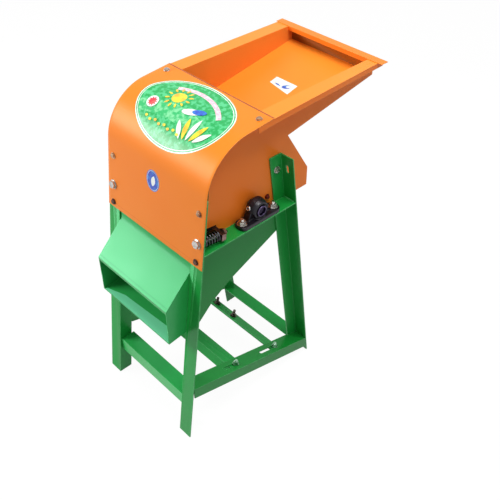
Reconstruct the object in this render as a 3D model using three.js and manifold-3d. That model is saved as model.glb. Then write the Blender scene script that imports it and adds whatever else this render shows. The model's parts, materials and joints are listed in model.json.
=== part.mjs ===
// Electric corn sheller: an angle iron frame, a sheet metal casing round a toothed drum,
// a kernel chute, an adjustable pressure plate and a slotted bed for a motor.
// Millimetres, +Z up, -Y is the front with the chute, +X is the machine's right side.
import * as THREE from 'three';
import { mergeVertices } from 'three/addons/utils/BufferGeometryUtils.js';
import Module from 'manifold-3d';

const wasm = await Module();
wasm.setup();

// Fits shared by all pieces
const gap = 0.3;               // between pieces that touch
const overrun = 6;             // how far a cut runs past what it cuts
const running = 0.4;           // between the turning inner ring and its bearing
const boreSlack = 0.6;         // radial slack of a bolt in its hole

// Frame of angle iron
const frameWidth = 340;        // across the outward flanges of the legs
const angleFlange = 40;
const legSideFlange = 37;      // the legs' flange that lies on the casing
const angleWall = 3;
const legLean = 7.75;          // degrees, both pairs lean towards each other
const railHeight = 564;        // top of the upper rails
const frontLegDrop = 3.64;     // top of the front legs below the start of the hood's bend
const rearLegDrop = 127;       // top of the rear legs below the tray's top
const rearRoom = 75;           // back of the rear feet behind the screen

// Lower frame
const lowerRailFrontHeight = 170;
const lowerRailRearHeight = 52;
const lowerRailDepth = 34;
const frontCrossHeight = 119;
const frontCrossSetback = 4;   // behind the front face of the legs
const rearCrossHeight = 60;
const rearCrossFlange = 37;
const slotSlack = 0.5;         // radial slack of the bolts in the slots
const frontSlotLength = 48;
const rearSlotLength = 62;
const frontSlotShare = 0.4201; // rear ends of the slots, as shares of the feet's spread
const rearSlotShare = 0.74658;

// Motor bars
const frontBarFlange = 38;
const frontBarDrop = 28;       // depth of its downward flange
const rearBarFlange = 26;
const rearBarDrop = 26;
const barEndPlay = 1;
const motorSlotLength = 42;
const innerSlotShare = 0.0824; // middles of the motor slots, as shares of the frame's width
const outerSlotShare = 0.2647;
const innerBoltShare = 0.8;    // places of the motor bolts along their slots
const outerBoltShare = 0.3;

// Upper cross rails
const tieFlange = 30;
const tieFrontDrop = 9;        // top of the front one below the upper rails
const tieFrontSetback = 6;
const rearTieFlange = 25;
const rearTieGap = 4.66;       // from the screen to the front edge of the rear one
const rearTieAngle = 38.9;     // degrees below the shaft, of that edge

// Sheets
const casingWall = 1.5;
const funnelWall = 2;

// Hood
const hoodDrop = 36;           // lower edge below the upper rails
const hoodBend = 125;          // outside radius of the bend
const roofRise = 5;            // degrees
const roofReach = 28;          // rear edge of the roof behind the shaft
const trayRise = 223;          // top of the tray's side flanges above the shaft

// Side panels and feed tray
const panelDrop = 17;          // lower edge below the upper rails
const panelFrontGap = 1;
const trayReach = 396;         // rear edge behind the shaft
const trayBackInset = 7;       // back wall in front of the rear edge
const trayFlange = 22;         // width of the rim at the back
const trayBackLip = 11.5;      // depth of that rim's turned front edge
const trayLip = 8;             // depth of the turned edges of the side rims
const trayFlangeLap = 44;      // length of the flange under the roof
const trayDepth = 37;          // floor below the top, at the back wall
const trayFloorSlope = 9.6;    // degrees
const trayWallLip = 9;         // how far the side walls reach below the floor
const neckReach = 113;         // where the wall meets the cob outlet, behind the shaft
const throatReach = 65;        // where the floor turns down to the drum, behind the shaft
const throatGap = 15.76;       // from the studs to the end of the throat
const throatAngle = 66;        // degrees above the shaft, of that end

// Cob outlet
const outletReach = 184;       // rear edge behind the shaft
const outletRise = 15;         // upper edge above the shaft
const outletDrop = 35;         // lower edge below the shaft
const outletStepReach = 120;   // where the panel steps down to the rail, behind the shaft
const outletInset = 1;
const outletFall = 7;          // fall of the outlet floor to the back

// Funnel and kernel chute
const funnelDrop = 21;         // upper edge below the upper rails
// Corners of its lower edge: behind the shaft, and below it
const funnelCorners = [[119, 109], [-69, 189], [-123, 222], [-165, 261], [-187, 262]];
const funnelWallGap = 12.33;   // from the screen to the upper edge of the rear wall
const funnelWallAngle = 44.67; // degrees below the shaft, of that edge
const funnelInset = 1;
const chuteJoint = 20;         // joint with the funnel, behind the legs' front face
const chuteReach = 48.82;      // mouth before the legs' front face, at its lower edge
const chuteFall = 8;           // lower edge of the mouth below the funnel
const chuteMouthHeight = 104;
const chuteTopInset = 3.55;    // rear edge of the top behind the legs' front face
const chuteTopDrop = 89;       // rear edge of the top below the shaft
const apronDrop = 2;           // below the upper edge of the funnel
const chuteHem = 8;            // turned front edge of the top plate

// Bearings and shaft
const shaftRadius = 10;
const shaftEndInset = 4.5;     // right end of the shaft inside the end of its ring
const bearingCentre = 28;      // shaft above the rail
const bearingLength = 122;
const bearingWidth = 36;
const bearingOutset = 2;       // beyond the middle of the rail's top
const bearingFoot = 10;
const bearingCorner = 14;      // corner radius of the foot
const bearingBolts = 95;
const bearingDome = 27;
const bearingDomeInner = 13.5; // from the middle of the foot to the dome's inner face
const bearingDomeOuter = 13.5; // and to its outer face
const bearingDomeTaper = 5;    // from the outer side, where the dome starts to narrow, to the middle
const bearingDomeEnd = 20;     // its radius at the outer face
const bearingFlank = 34;       // half the length of the flanks, on the foot
const bearingFlankHalf = 9;    // half the thickness of the flanks
const innerRingRadius = 14;
const innerRingLength = 31;

// Drum
const drumRadius = 70;
const drumWall = 4;
const drumEndGap = 15.4;       // from the drum's ends to the screen's
const drumHub = 24;
const drumHubLength = 30;
const toothHeight = 25;
const toothRadius = 7;
const toothTipRadius = 5.5;
const toothRows = 4;
const teethPerRow = 7;
const toothTwist = 70;         // degrees that a row turns along the drum
const lightHoles = 5;
const lightHoleRadius = 12;

// Concave screen
const screenGap = 12;
const screenWall = 3;
const screenFrontAngle = 214;  // degrees round the shaft from +Y
const screenRearAngle = 344;
const screenEndInner = 38;     // inner radius of the end plates
const screenEndAngle = 356;
const screenSlotLength = 34;
const screenSlotWidth = 14;
const screenSlotColumns = 5;
const screenSlotRows = 6;

// Pressure plate with its adjusters
const springRailGap = 1.78;    // from the adjusting springs down to the upper rails
const adjusterReach = 55;      // front face of the legs to the crossbar
const plateGap = 8.38;         // from the studs to the plate
const plateTravel = 12;
const crossbarHeight = 16;
const crossbarWall = 12;
const crossbarEnd = 4;         // how far the bar stops short of the frame's width
const plateWall = 5;
const plateBite = 1;           // how deep the crossbar is let into the plate
const plateTopAngle = 140;     // degrees round the shaft from +Y
const plateBottomAngle = 204;
const plateSideGap = 8;
const windowSlack = 2.5;

// Adjusting springs
const springRoom = 2.2;        // from the spring to the leg's side flange
const springWire = 3.6;
const springTurns = 7;
const closedTurns = 1;         // at each end
const springEndPitch = 4.6;    // pitch of the closed end turns
const springSteps = 8;
const springSides = 5;

// Driven pulley
const pulleyRadius = 90;
const pulleyWidth = 22;
const pulleyGroove = 12;
const pulleyGrooveTop = 13;
const pulleyGrooveBottom = 7;
const pulleyRim = 10;
const pulleyWeb = 6;
const pulleyHub = 24;
const pulleyHubWidth = 30;
const pulleyEndCap = 6;        // shaft beyond the hub
const pulleyOutset = 8;        // from the frame to the hub

// Bolts: radius of the shank, width across the corners of head and nut, depths, end beyond the nut
const adjusterBolt = { shank: 5, corner: 10, head: 7, nut: 8, end: 6 };
const bearingBolt = { shank: 5, corner: 9.5, head: 6.5, nut: 8, end: 5 };
const hoodBolt = { shank: 3, corner: 6.2, head: 4, nut: 5, end: 3 };
const panelBolt = { shank: 4, corner: 7.4, head: 5.5, nut: 6.5, end: 3 };
const footBolt = { shank: 4, corner: 7.8, head: 5.5, nut: 6.5, end: 13 };
const barBolt = { shank: 4, corner: 7.4, head: 5.5, nut: 6.5, end: 6 };
const hoodScrewLowDrop = 23;   // below the upper rails
const hoodScrewHighDrop = 37;  // below the top of the front legs
const roofScrewInset = 24;     // from the rear edge of the roof
const legBoltDrop = 38;        // below the top of the rear legs
const legBoltInset = 20;       // from the rear face of the leg
const legSlotDrop = 37;
const legSlotLength = 22;
const legSlotWidth = 8;
const screenBoltInset = 17.98; // before the front edge of the rear leg
const screenBoltDrop = 4;      // below the shaft

// Facets
const boltSides = 10;
const roundSides = 36;
const bendSteps = 12;
const drumSides = 24;
const studSides = 6;

const degrees = Math.PI / 180;
const lean = Math.tan(legLean * degrees);
const leanAngle = legLean * degrees;
const halfFrame = frameWidth / 2;
const innerFace = halfFrame - angleFlange;      // inner face of both side frames
const casingFace = innerFace - gap;             // outer face of the casing's side sheets
const casingInside = casingFace - casingWall;
const funnelInside = casingFace - funnelWall;
const innerHalf = funnelInside - gap;            // half width of what fits between the funnel plates
const boltLine = halfFrame - angleFlange / 2;   // middle of the outward flanges
const bearingLine = boltLine + bearingOutset;
const frontFace = z => lean * z;

// Heights that follow the upper rails and the shaft
const shaftZ = railHeight + bearingCentre;
const trayTop = shaftZ + trayRise;
const trayFloorRear = trayTop - trayDepth;
const hoodBottom = railHeight - hoodDrop;
const panelBottom = railHeight - panelDrop;
const outletTop = shaftZ + outletRise;
const outletBottom = shaftZ - outletDrop;
const funnelTop = railHeight - funnelDrop;
const chuteMouthBottom = shaftZ - funnelCorners[funnelCorners.length - 1][1] - chuteFall;
const chuteMouthTop = chuteMouthBottom + chuteMouthHeight;
const chuteTopRearZ = shaftZ - chuteTopDrop;
const apronTop = funnelTop - apronDrop;
const tieFrontHeight = railHeight - tieFrontDrop;
const springRadius = angleFlange / 2 - angleWall - springWire / 2 - springRoom;  // middle of the wire
const adjusterHeight = railHeight + springRadius + springWire / 2
  + adjusterReach * Math.sin(leanAngle) + springRailGap;
const screenBoltZ = shaftZ - screenBoltDrop;
const rearLegHeight = trayTop - rearLegDrop;
const legBoltHeight = rearLegHeight - legBoltDrop;
const legSlotHeight = rearLegHeight - legSlotDrop;
const hoodScrewLow = railHeight - hoodScrewLowDrop;

// A place by its distance along an adjusting bolt from the front face of the legs, and square to it
function alongAdjuster(distance, up) {
  return [frontFace(adjusterHeight) + distance * Math.cos(leanAngle) + up * Math.sin(leanAngle),
    adjusterHeight - distance * Math.sin(leanAngle) + up * Math.cos(leanAngle)];
}

// Radii round the shaft, and the depths that follow them
const tipRadius = drumRadius + toothHeight;
const plateOuter = tipRadius + plateGap + plateWall;
const screenInner = tipRadius + screenGap;
const screenOuter = screenInner + screenWall;
const [barBackY, barBackZ] = alongAdjuster(adjusterReach + crossbarWall, 0);
const shaftY = barBackY + Math.sqrt((plateOuter - plateBite) ** 2 - (shaftZ - barBackZ) ** 2);
const footSpread = shaftY + screenOuter + rearRoom;  // front of the front feet to back of the rear feet
const rearFace = z => footSpread - lean * z;
const roofRear = shaftY + roofReach;
const roofScrewY = roofRear - roofScrewInset;
const trayRear = shaftY + trayReach;
const trayBackWall = trayRear - trayBackInset;
const neckY = shaftY + neckReach;
const throatY = shaftY + throatReach;
const outletRear = shaftY + outletReach;
const outletStep = shaftY + outletStepReach;
const funnelLine = funnelCorners.map(([behind, below]) => [shaftY + behind, shaftZ - below]);
const funnelRearWall = shaftY + (screenOuter + funnelWallGap) * Math.cos(funnelWallAngle * degrees);
const funnelRearTop = shaftZ - (screenOuter + funnelWallGap) * Math.sin(funnelWallAngle * degrees);
const chuteMouthY = frontFace(chuteMouthBottom) - chuteReach;
const chuteTopRearY = frontFace(chuteTopRearZ) + chuteTopInset;
const screenBoltY = rearFace(screenBoltZ) - legSideFlange - screenBoltInset;
const slotWidth = 2 * (barBolt.shank + slotSlack);
const frontSlotEnd = frontSlotShare * footSpread;
const rearSlotEnd = rearSlotShare * footSpread;
const frontLegHeight = hoodLine()[1][1] - frontLegDrop;
const hoodScrewHigh = frontLegHeight - hoodScrewHighDrop;

// Widths that follow the frame
const motorSlotInner = -innerSlotShare * frameWidth;
const motorSlotOuter = -outerSlotShare * frameWidth;
const drumLength = 2 * (innerHalf - drumEndGap);
const shaftRightEnd = bearingLine + innerRingLength / 2 - shaftEndInset;
const shaftLeftEnd = -(halfFrame + pulleyOutset + pulleyHubWidth + pulleyEndCap);
const railSlope = (lowerRailFrontHeight - lowerRailRearHeight)
  / (rearFace(lowerRailRearHeight) - frontFace(lowerRailFrontHeight));
const railAngle = Math.atan(railSlope);
const lowerRailTop = y => lowerRailFrontHeight - railSlope * (y - frontFace(lowerRailFrontHeight));

// Materials
const paint = (color, roughness) => new THREE.MeshStandardMaterial({ color, roughness, metalness: 0.1 });
const metal = (color, roughness) => new THREE.MeshStandardMaterial({ color, roughness, metalness: 0.9 });
const orangePaint = paint(0xef8a3a, 0.4);
const greenPaint = paint(0x2c9a48, 0.4);
const blackCast = paint(0x17171c, 0.35);
const greyCast = metal(0x5c6064, 0.6);
const plainSteel = metal(0x8c8f92, 0.45);
const zinc = metal(0xc3c6c8, 0.3);
const darkSteel = metal(0x2b2a2a, 0.45);

// Solids and meshes
function solid(geometry) {
  const bare = geometry.clone();
  bare.deleteAttribute('normal');
  bare.deleteAttribute('uv');
  const merged = mergeVertices(bare);
  return new wasm.Manifold(new wasm.Mesh({
    numProp: 3,
    vertProperties: merged.attributes.position.array,
    triVerts: new Uint32Array(merged.index.array),
  }));
}

function geometryOf(body) {
  const found = body.getMesh();
  const geometry = new THREE.BufferGeometry();
  geometry.setAttribute('position', new THREE.BufferAttribute(Float32Array.from(found.vertProperties), 3));
  geometry.setIndex(Array.from(found.triVerts));
  geometry.computeVertexNormals();
  return geometry;
}

function meshOf(name, body, material) {
  const geometry = body.isBufferGeometry ? body : geometryOf(body);
  const mesh = new THREE.Mesh(geometry, material);
  mesh.name = name;
  return mesh;
}

const joined = parts => parts.reduce((sum, part) => sum.add(part));
const cut = (body, cutters) => cutters.reduce((rest, cutter) => rest.subtract(cutter), body);

// An outline of [y, z] points, extruded along X from x0 to x1
function slab(points, x0, x1) {
  const outline = new THREE.Shape(points.map(([y, z]) => new THREE.Vector2(y, z)));
  const geometry = new THREE.ExtrudeGeometry(outline, { depth: x1 - x0, bevelEnabled: false, steps: 1 });
  geometry.applyMatrix4(new THREE.Matrix4().set(0, 0, 1, x0, 1, 0, 0, 0, 0, 1, 0, 0, 0, 0, 0, 1));
  return solid(geometry);
}

function box(x0, x1, y0, y1, z0, z1) {
  return slab([[y0, z0], [y1, z0], [y1, z1], [y0, z1]], x0, x1);
}

// The same line moved sideways to its left by a distance, with mitred corners
function offset(points, distance) {
  const normals = points.slice(1).map(([y, z], i) => {
    const [y0, z0] = points[i];
    const length = Math.hypot(y - y0, z - z0);
    return [-(z - z0) / length, (y - y0) / length];
  });
  return points.map(([y, z], i) => {
    const a = normals[Math.max(i - 1, 0)];
    const b = normals[Math.min(i, normals.length - 1)];
    const scale = distance / (1 + a[0] * b[0] + a[1] * b[1]);
    return [y + (a[0] + b[0]) * scale, z + (a[1] + b[1]) * scale];
  });
}

// A bent sheet: a line of [y, z] points with a wall on its left, extruded along X
const bentSheet = (points, wall, x0, x1) => slab([...points, ...offset(points, wall).reverse()], x0, x1);

// Points on an arc round the shaft, angles in degrees from +Y towards +Z
function arc(radius, from, to, steps) {
  return Array.from({ length: steps + 1 }, (_, i) => {
    const angle = (from + (to - from) * i / steps) * degrees;
    return [shaftY + radius * Math.cos(angle), shaftZ + radius * Math.sin(angle)];
  });
}

// A plate with round corners in the X-Y plane, its middle at the origin, from z0 to z1
function roundedPlate(width, length, corner, z0, z1) {
  const x = width / 2 - corner;
  const y = length / 2 - corner;
  const outline = new THREE.Shape();
  outline.absarc(x, -y, corner, -Math.PI / 2, 0);
  outline.absarc(x, y, corner, 0, Math.PI / 2);
  outline.absarc(-x, y, corner, Math.PI / 2, Math.PI);
  outline.absarc(-x, -y, corner, Math.PI, Math.PI * 1.5);
  const geometry = new THREE.ExtrudeGeometry(outline, { depth: z1 - z0, bevelEnabled: false, curveSegments: 3 });
  geometry.translate(0, 0, z0);
  return solid(geometry);
}

// A rod along X, Y or Z with its middle at a place, tilted about X if asked
function rod(axis, radius, length, place, sides = boltSides, tilt = 0) {
  const geometry = new THREE.CylinderGeometry(radius, radius, length, sides);
  if (axis === 'x') geometry.rotateZ(Math.PI / 2);
  if (axis === 'z') geometry.rotateX(Math.PI / 2);
  geometry.rotateX(tilt);
  geometry.translate(...place);
  return solid(geometry);
}

// A round-ended slot cutter: its length runs along X or Y, and it cuts along Z, tilted about X
function slot(axis, length, width, depth, place, tilt = 0) {
  const side = (length - width) / 2;
  const outline = new THREE.Shape();
  outline.absarc(side, 0, width / 2, -Math.PI / 2, Math.PI / 2);
  outline.absarc(-side, 0, width / 2, Math.PI / 2, Math.PI * 1.5);
  const geometry = new THREE.ExtrudeGeometry(outline, { depth, bevelEnabled: false, curveSegments: 4 });
  geometry.translate(0, 0, -depth / 2);
  if (axis === 'y') geometry.rotateZ(Math.PI / 2);
  geometry.rotateX(tilt);
  geometry.translate(...place);
  return solid(geometry);
}

const mirrored = body => body.mirror([1, 0, 0]);

// A bolt along +Y: its head seats at zero, and its nut seats past what it clamps
function boltBody(size, clamped) {
  const nutSeat = clamped + gap;
  const length = size.head + gap + nutSeat + size.nut + size.end;
  const hex = (depth, start) => {
    const geometry = new THREE.CylinderGeometry(size.corner, size.corner, depth, 6);
    geometry.translate(0, start + depth / 2, 0);
    return solid(geometry);
  };
  const start = -gap - size.head;
  const shank = rod('y', size.shank, length - size.head / 2, [0, start + size.head / 2 + (length - size.head / 2) / 2, 0]);
  return joined([hex(size.head, start), hex(size.nut, nutSeat), shank]);
}

const object = new THREE.Group();
const pair = [['right', 1], ['left', -1]];

function addBoth(name, body, material) {
  object.add(meshOf(name + '_right', body, material));
  object.add(meshOf(name + '_left', mirrored(body), material));
}

// Legs: an angle section leaning to the middle, one flange flat on the casing, one facing outwards
function legBody(front) {
  const height = front ? frontLegHeight : rearLegHeight;
  const face = front ? frontFace : rearFace;
  const inwards = front ? 1 : -1;
  const wallAt = (depth, z) => face(z) + inwards * depth;
  const outward = slab([[wallAt(0, 0), 0], [wallAt(angleWall, 0), 0],
    [wallAt(angleWall, height), height], [wallAt(0, height), height]].reverse(), innerFace, halfFrame);
  const flat = slab([[wallAt(0, 0), 0], [wallAt(legSideFlange, 0), 0],
    [wallAt(legSideFlange, height), height], [wallAt(0, height), height]].reverse(), innerFace, innerFace + angleWall);
  return outward.add(flat);
}

// A cutter through the front flange of a leg and the hood, square to them
const frontHole = (radius, x, height) => rod('y', radius, 4 * overrun,
  [x, frontFace(height), height], boltSides, -leanAngle);

function addLegs() {
  const front = cut(legBody(true), [
    frontHole(hoodBolt.shank + boreSlack, boltLine, hoodScrewLow),
    frontHole(hoodBolt.shank + boreSlack, boltLine, hoodScrewHigh),
    frontHole(adjusterBolt.shank + boreSlack, boltLine, adjusterHeight),
  ]);
  const slotCutter = slot('x', legSlotLength, legSlotWidth, 4 * overrun, [0, 0, 0]).rotate([90, 90, 0])
    .translate([boltLine, rearFace(legSlotHeight), legSlotHeight]);
  const rear = cut(legBody(false), [
    rod('x', panelBolt.shank + boreSlack, 4 * overrun,
      [innerFace, rearFace(legBoltHeight) - legBoltInset, legBoltHeight]),
    slotCutter,
  ]);
  addBoth('front_leg', front, greenPaint);
  addBoth('rear_leg', rear, greenPaint);
}

// Upper rails: the flat top carries the bearings, the web hangs down beside the casing
function addUpperRails() {
  const start = frontFace(railHeight) + angleWall + gap;
  const end = rearFace(railHeight) - angleWall - gap;
  const webStart = frontFace(railHeight) + legSideFlange + gap;
  const webEnd = rearFace(railHeight) - legSideFlange - gap;
  const under = railHeight - angleWall;
  const body = joined([
    box(innerFace + angleWall + gap, halfFrame, start, end, under, railHeight),
    box(innerFace, innerFace + angleFlange / 2, webStart, webEnd, under, railHeight),
    box(innerFace, innerFace + angleWall, webStart, webEnd, railHeight - angleFlange, railHeight),
  ]);
  const holes = [-1, 1].map(side => rod('z', bearingBolt.shank + boreSlack, 4 * overrun,
    [bearingLine, shaftY + side * bearingBolts / 2, railHeight]));
  addBoth('upper_rail', cut(body, holes), greenPaint);
}

// Lower side rails: they fall to the back, with slots for the motor bars
function lowerRailStrip(y0, y1, depth, x0, x1) {
  const top = y => lowerRailTop(y);
  return slab([[y0, top(y0) - depth], [y1, top(y1) - depth], [y1, top(y1)], [y0, top(y0)]], x0, x1);
}

const railSlots = [[frontSlotEnd, frontSlotLength], [rearSlotEnd, rearSlotLength]];

function addLowerRails() {
  const start = frontFace(lowerRailFrontHeight) + angleWall + gap;
  const end = rearFace(lowerRailRearHeight) - angleWall - gap;
  const notchStart = frontFace(lowerRailFrontHeight) + legSideFlange + gap;
  const notchEnd = rearFace(lowerRailRearHeight) - legSideFlange - angleWall;
  const wall = angleWall / Math.cos(railAngle);
  const body = joined([
    lowerRailStrip(start, end, wall, innerFace + angleWall + gap, halfFrame),
    lowerRailStrip(notchStart, notchEnd, wall, innerFace, innerFace + angleFlange / 2),
    lowerRailStrip(start, end, lowerRailDepth, halfFrame - angleWall, halfFrame),
  ]);
  const slots = railSlots.map(([slotEnd, length]) => {
    const middle = slotEnd - length * Math.cos(railAngle) / 2;
    return slot('y', length, slotWidth, 4 * overrun, [boltLine, middle, lowerRailTop(middle)], -railAngle);
  });
  addBoth('lower_side_rail', cut(body, slots), greenPaint);
}

// Angle sections between the side frames: top flange, and a flange down at the front or the back
function crossAngle(flange, top, y, downAtFront, halfLength) {
  const upright = downAtFront ? y : y + flange - angleWall;
  return box(-halfLength, halfLength, y, y + flange, top - angleWall, top)
    .add(box(-halfLength, halfLength, upright, upright + angleWall, top - flange, top));
}

function addCrossRails() {
  const frontY = frontFace(frontCrossHeight) + frontCrossSetback;
  const rearY = rearFace(rearCrossHeight) - rearCrossFlange;
  const tieY = frontFace(tieFrontHeight) + tieFrontSetback;
  const rearTieY = shaftY + (screenOuter + rearTieGap) * Math.cos(rearTieAngle * degrees);
  const rearTieHeight = shaftZ - (screenOuter + rearTieGap) * Math.sin(rearTieAngle * degrees);
  object.add(meshOf('lower_cross_rail_front',
    crossAngle(angleFlange, frontCrossHeight, frontY, true, casingFace), greenPaint));
  object.add(meshOf('lower_cross_rail_rear',
    crossAngle(rearCrossFlange, rearCrossHeight, rearY, false, casingFace), greenPaint));
  object.add(meshOf('upper_cross_rail_front',
    crossAngle(tieFlange, tieFrontHeight, tieY, true, innerHalf), greenPaint));
  object.add(meshOf('upper_cross_rail_rear',
    crossAngle(rearTieFlange, rearTieHeight, rearTieY, true, innerHalf), greenPaint));
}

// Motor bars: they lie under the lower side rails, held by a bolt in each slot
function addMotorBars() {
  const barTop = -(angleWall + gap);
  const halfLength = halfFrame - angleWall - barEndPlay;
  const bars = [
    { name: 'front', flange: frontBarFlange, drop: frontBarDrop, slotEnd: frontSlotEnd,
      downAtFront: true, feet: [] },
    { name: 'rear', flange: rearBarFlange, drop: rearBarDrop, slotEnd: rearSlotEnd, downAtFront: false,
      feet: [['inner', motorSlotInner, innerBoltShare], ['outer', motorSlotOuter, outerBoltShare]] },
  ];
  for (const { name, flange, drop, slotEnd, downAtFront, feet } of bars) {
    const boltY = slotEnd - slotWidth / 2 * Math.cos(railAngle);
    const bar = new THREE.Group();
    bar.position.set(0, boltY, lowerRailTop(boltY));
    bar.rotation.x = -railAngle;
    const upright = downAtFront ? -flange / 2 : flange / 2 - angleWall;
    const body = box(-halfLength, halfLength, -flange / 2, flange / 2, barTop - angleWall, barTop)
      .add(box(-halfLength, halfLength, upright, upright + angleWall, barTop - drop, barTop));
    const cutters = [-boltLine, boltLine].map(x => rod('z', barBolt.shank + boreSlack, 4 * overrun, [x, 0, barTop]));
    for (const x of [motorSlotInner, motorSlotOuter]) {
      cutters.push(slot('x', motorSlotLength, slotWidth, 4 * overrun, [x, 0, barTop]));
    }
    bar.add(meshOf('motor_bar_' + name, cut(body, cutters), greenPaint));
    for (const [side, sign] of pair) {
      const clamp = meshOf(`bar_clamp_bolt_${name}_${side}`, boltBody(barBolt, 2 * angleWall + gap), zinc);
      clamp.position.set(sign * boltLine, 0, barTop - angleWall);
      clamp.rotation.x = Math.PI / 2;
      bar.add(clamp);
    }
    for (const [place, middle, share] of feet) {
      const x = middle + share * (motorSlotLength - slotWidth) / 2;
      const foot = meshOf(`motor_foot_bolt_${place}`, boltBody(footBolt, angleWall), darkSteel);
      foot.position.set(x, 0, barTop - angleWall);
      foot.rotation.x = Math.PI / 2;
      bar.add(foot);
    }
    object.add(bar);
  }
}

// The hood's outside line, from its bottom edge round the bend to the roof's rear edge
function hoodLine() {
  const standOff = (gap + casingWall) / Math.cos(leanAngle);
  const face = z => frontFace(z) - standOff;
  const rise = Math.tan(roofRise * degrees);
  const roofEnd = trayTop + gap + casingWall;
  const cornerZ = (roofEnd - rise * (roofRear + standOff)) / (1 - rise * lean);
  const corner = [face(cornerZ), cornerZ];
  const turn = Math.PI / 2 - leanAngle - roofRise * degrees;
  const tangent = hoodBend * Math.tan(turn / 2);
  const start = [corner[0] - tangent * Math.sin(leanAngle), corner[1] - tangent * Math.cos(leanAngle)];
  const centre = [start[0] + hoodBend * Math.cos(leanAngle), start[1] - hoodBend * Math.sin(leanAngle)];
  const bend = Array.from({ length: bendSteps + 1 }, (_, i) => {
    const angle = Math.PI - leanAngle - turn * i / bendSteps;
    return [centre[0] + hoodBend * Math.cos(angle), centre[1] + hoodBend * Math.sin(angle)];
  });
  return [[face(hoodBottom), hoodBottom], ...bend, [roofRear, roofEnd]];
}

function addHood() {
  const line = hoodLine().reverse();
  const sheet = bentSheet(line, casingWall, -halfFrame, halfFrame);
  const roofZ = trayTop - Math.tan(roofRise * degrees) * (roofRear - roofScrewY);
  const holes = [];
  for (const x of [-boltLine, boltLine]) {
    holes.push(frontHole(hoodBolt.shank + boreSlack, x, hoodScrewLow));
    holes.push(frontHole(hoodBolt.shank + boreSlack, x, hoodScrewHigh));
    holes.push(frontHole(adjusterBolt.shank + boreSlack, x, adjusterHeight));
    holes.push(rod('z', hoodBolt.shank + boreSlack, 4 * overrun, [x, roofScrewY, roofZ], boltSides, roofRise * degrees));
  }
  object.add(meshOf('hood', cut(sheet, holes), orangePaint));
}

// Tray floor and the lower edge of its walls
const trayFloor = y => trayFloorRear - Math.tan(trayFloorSlope * degrees) * (trayBackWall - y);
const wallFoot = y => trayFloor(y) - trayWallLip;
const trayFlangeLine = () => {
  const rise = Math.tan(roofRise * degrees);
  return [[trayRear, trayTop], [roofRear, trayTop], [roofRear - trayFlangeLap, trayTop - rise * trayFlangeLap]];
};

// Crossbar of the pressure plate, in the plane square to the adjusting bolts
const crossbarFront = adjusterReach;
const crossbarOutline = (extra, travel) => [
  alongAdjuster(crossbarFront - travel - extra, -crossbarHeight / 2 - extra),
  alongAdjuster(crossbarFront + crossbarWall + extra, -crossbarHeight / 2 - extra),
  alongAdjuster(crossbarFront + crossbarWall + extra, crossbarHeight / 2 + extra),
  alongAdjuster(crossbarFront - travel - extra, crossbarHeight / 2 + extra),
];

// Side panels: one sheet each, with the tray's side wall and its outward flange
function addSidePanels() {
  const inside = offset(hoodLine(), -(casingWall + panelFrontGap));
  const front = inside.slice(1, -1);
  const rise = Math.tan(roofRise * degrees);
  const under = trayTop - casingWall;
  const roofInside = y => (y < roofRear ? under - rise * (roofRear - y) : under);
  const outline = [
    [frontFace(panelBottom) + panelFrontGap, panelBottom],
    ...front.filter(([y]) => y < roofRear - trayFlangeLap),
    [roofRear - trayFlangeLap, roofInside(roofRear - trayFlangeLap) - panelFrontGap],
    [roofRear - trayFlangeLap + panelFrontGap, roofInside(roofRear - trayFlangeLap)],
    [roofRear, under], [trayRear, under],
    [trayRear, wallFoot(trayRear)], [neckY, wallFoot(neckY)],
    [outletRear, outletTop], [outletRear, outletBottom],
    [outletStep, outletBottom], [outletStep, panelBottom],
  ].reverse();
  const flange = bentSheet(trayFlangeLine(), casingWall, casingInside, halfFrame);
  const lip = bentSheet(trayFlangeLine(), trayLip, halfFrame - casingWall, halfFrame);
  const body = slab(outline, casingInside, casingFace).add(flange).add(lip);
  const roofZ = trayTop - rise * (roofRear - roofScrewY);
  const cutters = [
    rod('x', shaftRadius + running * shaftRadius, 4 * overrun, [casingFace, shaftY, shaftZ], roundSides),
    rod('x', panelBolt.shank + boreSlack, 4 * overrun,
      [casingFace, rearFace(legBoltHeight) - legBoltInset, legBoltHeight]),
    rod('x', panelBolt.shank + boreSlack, 4 * overrun, [casingFace, screenBoltY, screenBoltZ]),
    slab(crossbarOutline(windowSlack, plateTravel), casingInside - overrun, casingFace + overrun),
    rod('z', hoodBolt.shank + boreSlack, 4 * overrun, [boltLine, roofScrewY, roofZ], boltSides, roofRise * degrees),
  ];
  addBoth('side_panel', cut(body, cutters), orangePaint);
}

// Feed tray: back flange, back wall, floor and the throat that hands cobs to the drum
function addFeedTray() {
  const half = casingInside - gap;
  const line = [
    ...arc(tipRadius + throatGap, throatAngle, throatAngle, 1).slice(1),
    [throatY, trayFloor(throatY)],
    [trayBackWall, trayFloorRear],
    [trayBackWall, trayTop + gap + casingWall],
  ];
  const sheet = bentSheet(offset(line, -casingWall), casingWall, -half, half);
  const flange = box(-halfFrame, halfFrame, trayRear - trayFlange, trayRear,
    trayTop + gap, trayTop + gap + casingWall);
  const front = trayRear - trayFlange;
  const lip = box(-half, half, front, front + casingWall,
    trayTop + gap + casingWall - trayBackLip, trayTop + gap + casingWall);
  object.add(meshOf('feed_tray', sheet.add(flange).add(lip), orangePaint));
}

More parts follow.
